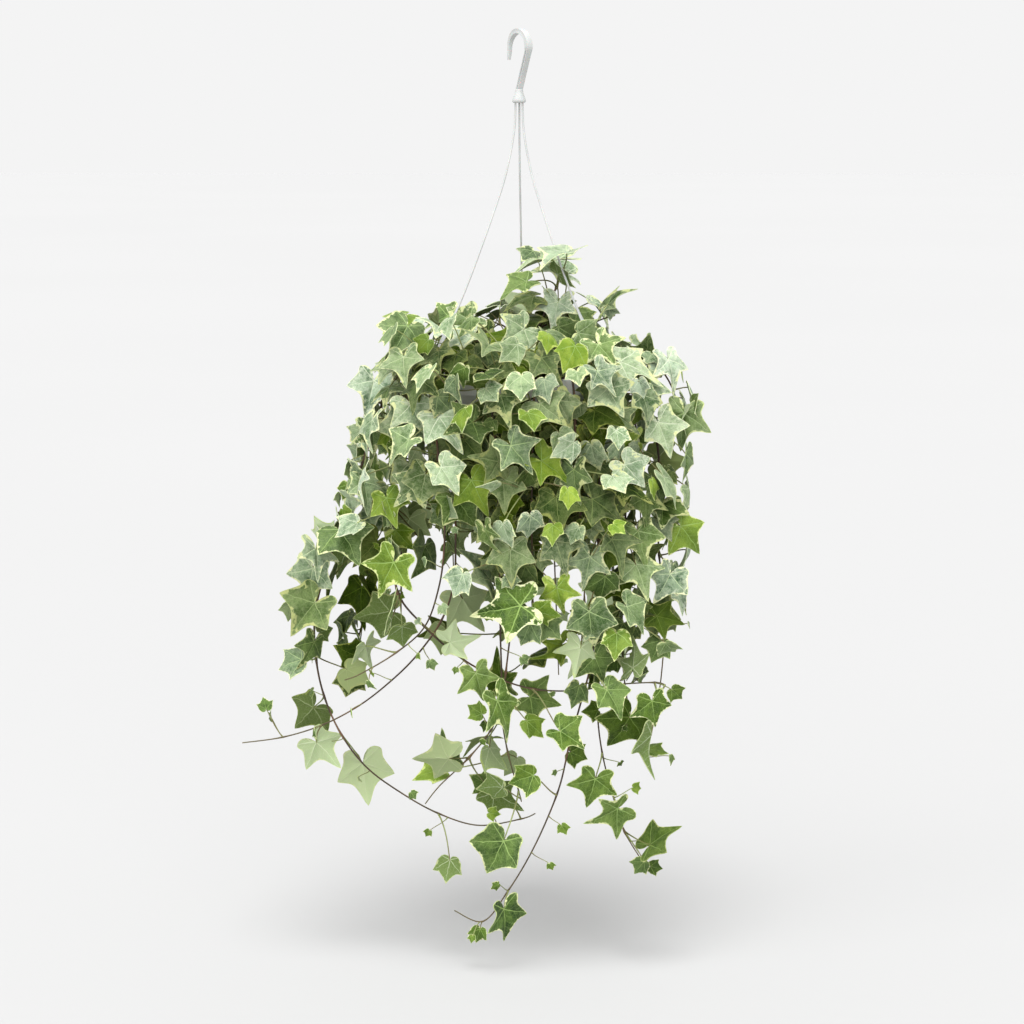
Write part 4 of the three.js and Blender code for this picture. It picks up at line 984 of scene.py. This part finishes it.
def blade_material():
    """Ivy leaf: clouded grey-green, pale veins, a thin cream margin that widens here and there, and
    a pale matt underside; all of it darkened with painted shade where it lies under other leaves."""
    g = Graph("ivy_blade", Subsurface_Weight=0.1, Subsurface_Scale=0.001,
              Subsurface_Radius=(0.5, 1.0, 0.3))
    place = g.attribute("place")
    own = g.node("SeparateXYZ", {0: place}).outputs[2]
    waves = {"W": own, "Scale": 1.9, "Detail": 0.0}
    shade = g.node("TexNoise", waves, noise_dimensions="1D").outputs["Fac"]
    rim = g.attribute("rim", "Fac")
    silver, young, cream = g.node("SeparateColor", {0: g.attribute("tone", "Color")}).outputs
    under = g.attribute("tone", "Alpha")
    veins = g.node("SeparateXYZ", {0: g.attribute("veins")}).outputs
    bend = g.times(g.span(g.noise(place, 3.2), 0.2, 0.8, -0.06, 0.06), veins[0])
    ahead, beside = veins[0], g.math("ABSOLUTE", g.plus(veins[1], bend))

    # Body: broad clouds, and small flecks inside them
    broad = g.noise(place, 2.2, 3, 0.5, 0.6)
    small = g.noise(place, 9.0, 3, 0.55, 0.4)
    cloud = g.plus(g.span(broad, 0.38, 0.62, 0, 0.6), g.span(shade, 0.3, 0.7, 0, 0.4))
    green = g.mix(cloud, rgb(30, 57, 6), rgb(80, 110, 30))
    green = g.mix(g.span(small, 0.45, 0.7, 0, 0.3), green, rgb(104, 130, 48))
    grey = g.mix(cloud, rgb(74, 105, 78), rgb(179, 197, 173))
    grey = g.mix(g.span(small, 0.46, 0.64, 0, 0.5), grey, rgb(197, 209, 188))
    frost = g.times(g.span(rim, 0.02, 0.22, 1, 0), g.span(small, 0.4, 0.58, 0.1, 0.75))
    grey = g.mix(frost, grey, rgb(216, 223, 203))
    lime = g.mix(cloud, rgb(102, 136, 20), rgb(156, 178, 64))
    body = g.mix(silver, green, grey)
    body = g.mix(g.times(young, 0.9), body, lime)
    grain = g.span(g.noise(place, 26.0, 3, 0.6), 0.3, 0.7, 0.84, 1.14)
    body = g.node("VectorMath", {0: body, 3: grain}, operation="SCALE").outputs[0]

    # Margin: a thin line, and wider patches in some places
    uneven = g.plus(g.noise(place, 2.6, 3, 0.6), g.times(small, 0.3))
    wide = g.times(g.span(uneven, 0.6, 0.88, 0.0, 0.24), cream)
    width = g.plus(wide, g.span(small, 0.35, 0.7, 0.013, 0.034))
    edge = g.rest(g.span(g.math("DIVIDE", rim, width), 0.75, 1.2))
    margin = g.mix(g.math("MAXIMUM", silver, cream), rgb(184, 198, 122), rgb(238, 240, 220))
    margin = g.mix(g.span(uneven, 0.55, 0.75), margin, rgb(228, 229, 180))
    margin = g.mix(young, margin, rgb(190, 206, 104))
    body = g.mix(g.times(edge, g.span(small, 0.3, 0.6, 0.6, 1.0)), body, margin)

    # Veins: one along each lobe, side veins that slant from it, and a fine net between them
    thin = g.span(ahead, 0, 1, 0.015, 0.005)
    main = g.rest(g.span(g.math("DIVIDE", beside, thin), 0.5, 1.3))
    slant = g.math("SUBTRACT", ahead, g.times(beside, 0.85))
    wave = g.math("PINGPONG", g.plus(slant, g.times(small, 0.03)), 0.085)
    side = g.rest(g.span(wave, 0.001, 0.009))
    side = g.times(side, g.span(beside, 0.0, 0.28, 0.6, 0.12))
    net = g.rest(g.span(g.cells(place, 15.0, "DISTANCE_TO_EDGE"), 0.0, 0.09))
    lines = g.math("MAXIMUM", main, g.math("MAXIMUM", side, g.times(net, 0.22)))
    pale = g.mix(silver, rgb(148, 176, 96), rgb(212, 223, 192))
    top = g.mix(g.times(lines, 0.85), body, pale)

    beneath = g.mix(g.span(shade, 0.35, 0.65), rgb(100, 122, 58), rgb(190, 205, 164))
    beneath = g.mix(g.times(lines, 0.6), beneath, rgb(208, 220, 182))
    beneath = g.mix(g.times(edge, 0.5), beneath, margin)
    # painted shade where the leaf lies under other leaves
    colour, gloss = add_painted_shade(g, g.mix(under, top, beneath))

    rough = g.plus(g.span(g.noise(place, 6.0), 0.3, 0.7, 0.4, 0.52), g.times(under, 0.2))
    sunk = g.times(lines, g.span(under, 0, 1, -1.0, 1.0))
    relief = g.plus(sunk, g.times(g.noise(place, 28.0, 3), 0.5))
    return g.finish(colour, rough, relief, 0.5, 0.0005, Specular_IOR_Level=gloss)


def stalk_material():
    """Stems are brown with a purple cast and streaked; leaf stalks are paler and greener, with painted
    shade where they lie under leaves.
    """
    g = Graph("ivy_stem", Subsurface_Weight=0.06, Subsurface_Scale=0.0015)
    place = g.attribute("place")
    along, stalk, _ = g.node("SeparateColor", {0: g.attribute("tone", "Color")}).outputs
    streak = g.noise(g.stretched(place, (2.0, 2.0, 1.1)), 2.4, 4, 0.6)
    fleck = g.cells(g.stretched(place, (1.6, 1.6, 3.0)), 3.0)
    old = g.mix(g.span(streak, 0.35, 0.68), rgb(44, 35, 30), rgb(84, 70, 54))
    fresh = g.mix(g.span(streak, 0.35, 0.68), rgb(76, 66, 48), rgb(120, 114, 78))
    old = g.mix(g.span(g.noise(place, 0.3), 0.45, 0.65, 0, 0.7), old, rgb(122, 92, 68))
    stem = g.mix(g.span(along, 0.7, 1.05), old, fresh)
    stem = g.mix(g.span(fleck, 0.05, 0.2, 0.5, 0), stem, rgb(130, 116, 90))
    red = g.mix(g.span(streak, 0.42, 0.6), rgb(92, 76, 52), rgb(136, 134, 88))
    pale = g.mix(g.span(g.noise(place, 0.35), 0.38, 0.62), red, rgb(152, 164, 104))
    # painted shade where the stalk lies under leaves
    colour, gloss = add_painted_shade(g, g.mix(stalk, stem, pale))
    relief = g.plus(g.times(fleck, 0.6), streak)
    rough = g.span(streak, 0.3, 0.7, 0.42, 0.6)
    return g.finish(colour, rough, relief, 0.5, 0.0004, Specular_IOR_Level=gloss)


def pot_material():
    """White moulded plastic, faintly grained, with a little peat dust, most of it low down."""
    g = Graph("pot_plastic", Subsurface_Weight=0.1, Subsurface_Scale=0.002, Specular_IOR_Level=0.45)
    place = g.object_place()
    height = g.node("SeparateXYZ", {0: place}).outputs[2]
    cloud = g.noise(place, 14.0, 3, 0.5)
    colour = g.mix(g.span(cloud, 0.3, 0.7), rgb(214, 215, 206), rgb(226, 227, 219))
    runs = g.noise(g.stretched(place, (60, 60, 9)), 1.0, 4, 0.6)
    low = g.span(height, (RIM_Z - POT_HEIGHT) * MM, (RIM_Z - POT_HEIGHT + 26) * MM, 1, 0)
    dust = g.times(g.span(runs, 0.48, 0.75, 0, 0.5), g.plus(low, 0.12))
    colour = g.mix(dust, colour, rgb(168, 158, 132))
    grain = g.noise(place, 1500.0, 2, 0.6)
    return g.finish(colour, g.span(cloud, 0.3, 0.7, 0.4, 0.52), grain, 0.12, 0.0002)


def hanger_material():
    """Glossier plastic that lets a little light through, with fine marks of handling."""
    g = Graph("hanger_plastic", Subsurface_Weight=0.1, Subsurface_Scale=0.002, Specular_IOR_Level=0.5)
    place = g.object_place()
    cloud = g.noise(place, 40.0, 3, 0.5)
    colour = g.mix(g.span(cloud, 0.3, 0.7), rgb(180, 182, 181), rgb(196, 198, 196))
    marks = g.noise(g.stretched(place, (900, 900, 120)), 1.0, 3, 0.6)
    return g.finish(colour, g.span(marks, 0.35, 0.7, 0.24, 0.38), marks, 0.08, 0.0002)


def peat_material():
    g = Graph("peat", Specular_IOR_Level=0.25)
    place = g.object_place()
    crumb = g.noise(place, 260.0, 4, 0.65)
    fibre = g.noise(g.stretched(place, (900, 250, 500)), 1.0, 3, 0.6, 0.6)
    colour = g.mix(g.span(crumb, 0.35, 0.7), rgb(38, 29, 22), rgb(84, 64, 46))
    colour = g.mix(g.span(fibre, 0.62, 0.75, 0, 0.7), colour, rgb(120, 94, 64))
    relief = g.plus(crumb, g.times(fibre, 0.6))
    return g.finish(colour, g.span(crumb, 0.3, 0.7, 0.95, 0.8), relief, 0.9, 0.0012)


def perlite_material():
    g = Graph("perlite", Subsurface_Weight=0.1, Subsurface_Scale=0.001, Specular_IOR_Level=0.3)
    place = g.object_place()
    pores = g.cells(place, 1400.0)
    stain = g.noise(place, 300.0, 3, 0.6)
    colour = g.mix(g.span(pores, 0.1, 0.4), rgb(196, 192, 182), rgb(240, 238, 232))
    colour = g.mix(g.span(stain, 0.55, 0.75, 0, 0.4), colour, rgb(140, 122, 98))
    return g.finish(colour, g.span(stain, 0.3, 0.7, 0.7, 0.9), pores, 0.7, 0.0006)


# Pot, soil and hanger


def joined(parts):
    points, faces = [], []
    for part_points, part_faces in parts:
        first = len(points)
        points.extend(part_points)
        faces.extend([first + corner for corner in face] for face in part_faces)
    return points, faces


def make_piece(name, parts, node, sharp=SHARP):
    """One piece from parts of (points in millimetres, faces, material)."""
    mesh = new_mesh(name, *joined([part[:2] for part in parts]))
    surfaces = [number for number, part in enumerate(parts) for _ in part[1]]
    return finish_piece(mesh, [part[2] for part in parts], surfaces, sharp, node)


def rounded(corners, radius, steps=4):
    """A row of corners with each inner one replaced by a short arc."""
    corners = [np.array(corner, float) for corner in corners]
    line = [corners[0]]
    for before, corner, after in zip(corners, corners[1:], corners[2:]):
        back, ahead = before - corner, after - corner
        cut = min(radius, 0.45 * norm(back), 0.45 * norm(ahead))
        start, end = corner + unit(back) * cut, corner + unit(ahead) * cut
        for t in np.linspace(0, 1, steps + 1):
            line.append((1 - t) ** 2 * start + 2 * t * (1 - t) * corner + t * t * end)
    line.append(corners[-1])
    return line


def lathe(profile, sides, shape=None):
    """Turns a profile of (radius, height) that starts and ends on the axis."""
    inner = profile[1:-1]
    points = []
    for radius, z in inner:
        for turn in circle(sides):
            reach = radius * (shape(turn, z) if shape else 1)
            points.append((reach * cos(turn), reach * sin(turn), z))
    start, last = len(points), len(points) - sides
    points += [(0, 0, profile[0][1]), (0, 0, profile[-1][1])]
    faces = skin(len(inner), sides)
    for a in range(sides):
        b = (a + 1) % sides
        faces += [[start, b, a], [start + 1, last + a, last + b]]
    return points, faces


def loft(rings):
    """A closed skin over rings of the same number of points."""
    rings = np.asarray(rings)
    return rings.reshape(-1, 3), tube_faces(*rings.shape[:2])


def cut(piece, cutters):
    """Cuts closed shapes out of a piece and leaves no modifier on it."""
    for points, faces in cutters:
        cutter = new_object("cutter", new_mesh("cutter", points, faces))
        modifier = piece.modifiers.new("cut", "BOOLEAN")
        modifier.operation = "DIFFERENCE"
        modifier.object = cutter
        graph = bpy.context.evaluated_depsgraph_get()
        result = bpy.data.meshes.new_from_object(piece.evaluated_get(graph))
        piece.modifiers.clear()
        piece.data = result
        bpy.data.objects.remove(cutter)
    piece.data.set_sharp_from_angle(angle=radians(SHARP))


def cylinder(radius, low, high, place, sides=24):
    x, y, _ = place
    ring = [(x + radius * cos(turn), y + radius * sin(turn)) for turn in circle(sides)]
    return loft([[(*corner, z) for corner in ring] for z in (low, high)])


def make_pot(material):
    band_inner = RIM_RADIUS - BAND_WALL
    base = RIM_Z - POT_HEIGHT
    profile = rounded([
        (0, base + 3), (BASE_RADIUS - 8, base + 3), (BASE_RADIUS - 6, base), (BASE_RADIUS, base),
        (WALL_TOP_RADIUS, RIM_Z - 4), (band_inner, RIM_Z - 4), (band_inner, RIM_Z - RIM_BAND),
        (RIM_RADIUS, RIM_Z - RIM_BAND), (RIM_RADIUS, RIM_Z), (INNER_TOP_RADIUS, RIM_Z),
        (INNER_BASE_RADIUS, FLOOR_Z + 3), (0, FLOOR_Z + 3),
    ], 1.2)
    pot = make_piece("pot_shell", [(*lathe(profile, POT_SIDES), material)], "pot")
    places = [polar(DRAIN_CIRCLE, angle, 0) for angle in DRAIN_ANGLES]
    cut(pot, [cylinder(DRAIN_RADIUS, base - 10, base + 20, place) for place in places])


def granule(place, size, random):
    """A small lump with an uneven skin."""
    shape = bmesh.new()
    bmesh.ops.create_icosphere(shape, subdivisions=2, radius=1)
    stretch = random.uniform(0.7, 1.2, 3)
    shift = Vector(random.uniform(-50, 50, 3))
    points = []
    for vertex in shape.verts:
        swell = 1 + 0.3 * noise.noise(vertex.co * 1.6 + shift) + 0.14 * noise.noise(vertex.co * 4 + shift)
        points.append(np.array(vertex.co) * stretch * swell * size + place)
    faces = [[vertex.index for vertex in face.verts] for face in shape.faces]
    shape.free()
    return points, faces


def make_soil(peat, perlite):
    """Peat with a crumbly mounded top, and lumps of peat and perlite that lie in it."""
    random = np.random.RandomState(7)
    bottom = FLOOR_Z + 3.4

    def wall(z):
        share = (z - FLOOR_Z - 3) / (RIM_Z - FLOOR_Z - 3)
        return INNER_BASE_RADIUS + (INNER_TOP_RADIUS - INNER_BASE_RADIUS) * share - 0.4

    edge = wall(SOIL_Z)
    profile = [(0, bottom), (wall(bottom), bottom), (edge, SOIL_Z)]
    profile += [(edge * share, soil_height(edge * share)) for share in np.linspace(0.98, 0.02, SOIL_ROWS)]
    points, faces = lathe([*profile, (0, soil_height(0))], SOIL_SIDES)
    points = np.array(points, float)
    for k in np.nonzero(points[:, 2] > SOIL_Z + 0.01)[0]:
        place = Vector(points[k])
        points[k][2] += 2.0 * noise.noise(place * 0.09) + 1.4 * noise.noise(place * 0.28)
        points[k][2] += 0.8 * noise.noise(place * 0.7)
    crumbs, beads = [], []
    for k in range(LUMPS):
        radius, angle = edge * 0.97 * math.sqrt(random.random()), random.uniform(0, 360)
        place = polar(radius, angle, soil_height(radius) + random.uniform(-0.4, 0.9))
        if k % 4 == 0:
            beads.append(granule(place, random.uniform(0.9, 2.1), random))
        else:
            crumbs.append(granule(place, random.uniform(0.8, 2.3), random))
    soil = joined([(points, faces), *crumbs])
    make_piece("soil_fill", [(*soil, peat), (*joined(beads), perlite)], "soil", SOIL_SHARP)


def bar_section(half, depth, groove):
    """Section of the hook's bar: a block with soft edges and a groove down both broad faces."""
    soft, lane = 0.5, 0.42 * half
    quarter = [
        (half, 0), (half, depth - soft), (half - 0.15 * soft, depth - 0.15 * soft), (half - soft, depth),
        (lane + 0.25, depth), (lane, depth - min(groove, 0.25)), (lane * 0.8, depth - groove),
        (0, depth - groove),
    ]
    side = quarter + [(-u, w) for u, w in quarter[::-1][1:]]
    return side + [(u, -w) for u, w in side[::-1][1:-1]]


def make_hook(material):
    """Open hook: a thick smooth bend, then a narrower grooved shaft that slants down into a collar."""
    middle = HOOK_INNER + HOOK_BAND / 2
    centre = np.array([0, -HOOK_INNER])
    arc = [centre + middle * np.array([cos(t), sin(t)]) for t in np.linspace(math.pi, -0.2, 40)]
    arm = [np.array([-middle - 1.2, -22.0]), np.array([-middle - 0.5, -17.0])]
    foot = np.array([0.0, COLLAR_TOP + 1])
    shaft = [arc[-1] + (foot - arc[-1]) * t for t in np.linspace(0.06, 1, 16)]
    line = np.array(arm + arc + shaft)
    plane, across = polar(1, HOOK_TURN, 0), polar(1, HOOK_TURN + 90, 0)
    rings = []
    for k, (place, way) in enumerate(zip(line, directions(line))):
        beyond = clamp((k - len(arm) - len(arc) + 3) / 3)
        end = (0.72 if k == 0 else 1) * (1 - HOOK_TAPER * max(1 - k / TAPER_RINGS, 0))
        half = (HOOK_BAND / 2 - 0.35 * beyond) * end
        depth = (HOOK_DEPTH / 2 - 0.3 * beyond) * end
        ring = []
        for u, w in bar_section(half, depth, 0.12 + 1.1 * beyond):
            flat = place + np.array([-way[1], way[0]]) * u
            ring.append(plane * flat[0] + np.array([0, 0, flat[1]]) + across * w)
        rings.append(ring)
    profile = rounded([
        (0, COLLAR_BOTTOM), (5.0, COLLAR_BOTTOM), (5.9, COLLAR_BOTTOM + 0.9), (5.9, COLLAR_BOTTOM + 2.4),
        (4.1, COLLAR_BOTTOM + 7), (3.5, COLLAR_TOP - 1), (3.3, COLLAR_TOP + 1.6), (0, COLLAR_TOP + 2),
    ], 0.8)

    def scallop(turn, z):
        low = clamp((COLLAR_BOTTOM + 6 - z) / 6)
        return 1 + COLLAR_WAVE * low * (cos(3 * (turn - radians(STRAND_ANGLES["back"]))) - 0.6)

    collar = lathe(profile, COLLAR_SIDES, scallop)
    hook = make_piece("hanger_top", [(*joined([loft(rings), collar]), material)], "hanger_hook")
    low, high = COLLAR_BOTTOM - 5, COLLAR_BOTTOM + SOCKET_DEPTH
    places = [polar(SOCKET_CIRCLE, angle, 0) for angle in STRAND_ANGLES.values()]
    cut(hook, [cylinder(STRAND_RADIUS + GAP, low, high, place, 16) for place in places])


def make_strand(name, angle, material):
    """A round strand that flattens into a clip: down past the rim's band, under it and up behind."""
    outside = RIM_RADIUS + GAP + STRAND_RADIUS
    under = RIM_Z - RIM_BAND - GAP - STRAND_RADIUS
    behind = RIM_RADIUS - BAND_WALL - GAP - 0.7 - 0.4
    radial, tangent = polar(1, angle, 0), polar(1, angle + 90, 0)
    route = [polar(SOCKET_CIRCLE + out, angle, COLLAR_BOTTOM + rise) for out, rise in STRAND_ROUTE]
    upper = smooth_line([*route, polar(RIM_RADIUS + 2, angle, RIM_Z + 4)], 10)[:-6]
    clip = rounded([(outside, RIM_Z + 2), (outside, under), (behind, under), (behind, under + 4.4)], 1.1)
    clip = [radial * r + np.array([0, 0, z]) for r, z in clip]
    rise = [clip[0] + (clip[1] - clip[0]) * t for t in (0, 0.25, 0.5, 0.75)]
    line = np.array([*upper, *rise, *clip[1:]])
    rings = []
    for k, (place, way) in enumerate(zip(line, directions(line))):
        flat = eased(clamp((k - len(upper) + 5) / 6))
        wide = STRAND_RADIUS + (CLIP_WIDTH / 2 - STRAND_RADIUS) * flat
        thick = STRAND_RADIUS
        if k in (0, len(line) - 1):
            wide, thick = wide * 0.8, thick * 0.7
        normal = np.cross(way, tangent)
        ring = []
        for turn in circle(STRAND_SIDES):
            u, w = (math.copysign(abs(x) ** (1 - 0.62 * flat), x) for x in (cos(turn), sin(turn)))
            ring.append(place + tangent * (u * wide) - normal * (w * thick))
        rings.append(ring)
    parts = [(*loft(rings), material)]
    make_piece("strand_" + name, parts, "hanger_strand_" + name, STRAND_SHARP)


# Floor, backdrop and light

FLOOR_LEVEL = -0.79
FLOOR_HALF = 24.0
FLOOR_COLOUR = 0.5088
FLOOR_TINT = 0.005  # how much it varies
STUDIO = 0.905  # brightness of the plain surroundings
LIGHTS = {  # where each comes from, its strength, and its softness in degrees across
    "key": ((-0.02, -0.38, 1.0), 1.85, 30),
    "front": ((-0.3, -1.0, 0.65), 1.95, 80),
}


def make_stage():
    g = Graph("floor", Specular_IOR_Level=0.0)
    tint = g.span(g.noise(g.object_place(), 0.5), 0.3, 0.7)
    low, high = FLOOR_COLOUR * (1 - FLOOR_TINT), FLOOR_COLOUR * (1 + FLOOR_TINT)
    material = g.out(Base_Color=g.mix(tint, (low, low, low, 1), (high, high, high, 1)), Roughness=0.9)
    half = FLOOR_HALF
    mesh = bpy.data.meshes.new("floor")
    corners = [(-half, -half), (half, -half), (half, half), (-half, half)]
    mesh.from_pydata([(x, y, FLOOR_LEVEL) for x, y in corners], [], [[0, 1, 2, 3]])
    mesh.materials.append(material)
    new_object("floor", mesh)


def light_scene():
    world = bpy.data.worlds.new("studio")
    world.use_nodes = True
    background = world.node_tree.nodes["Background"]
    background.inputs["Color"].default_value = (1, 1, 1, 1)
    background.inputs["Strength"].default_value = STUDIO
    bpy.context.scene.world = world
    for name, (place, strength, softness) in LIGHTS.items():
        data = bpy.data.lights.new(name, "SUN")
        data.energy = strength
        data.angle = radians(softness)
        turn = (-Vector(place)).to_track_quat("-Z", "Y")
        new_object(name, data).rotation_euler = turn.to_euler()
    bpy.context.scene.view_settings.view_transform = "Standard"


make_stage()
light_scene()
pot_plastic, hanger_plastic = pot_material(), hanger_material()
make_pot(pot_plastic)
make_soil(peat_material(), perlite_material())
make_hook(hanger_plastic)
for side, side_angle in STRAND_ANGLES.items():
    make_strand(side, side_angle, hanger_plastic)
ivy_materials = [blade_material(), stalk_material()]
routes = all_routes()
blades = [{**blade, "vine": vine} for vine in routes for blade in find_blades(vine)]
for vine_number, (vine, (vine_root, leafy_length, vine_route)) in enumerate(routes.items()):
    vine_corners = stem_corners(vine_root, vine_route)
    make_vine(vine, vine_number, vine_corners, leafy_length, blades, ivy_materials)
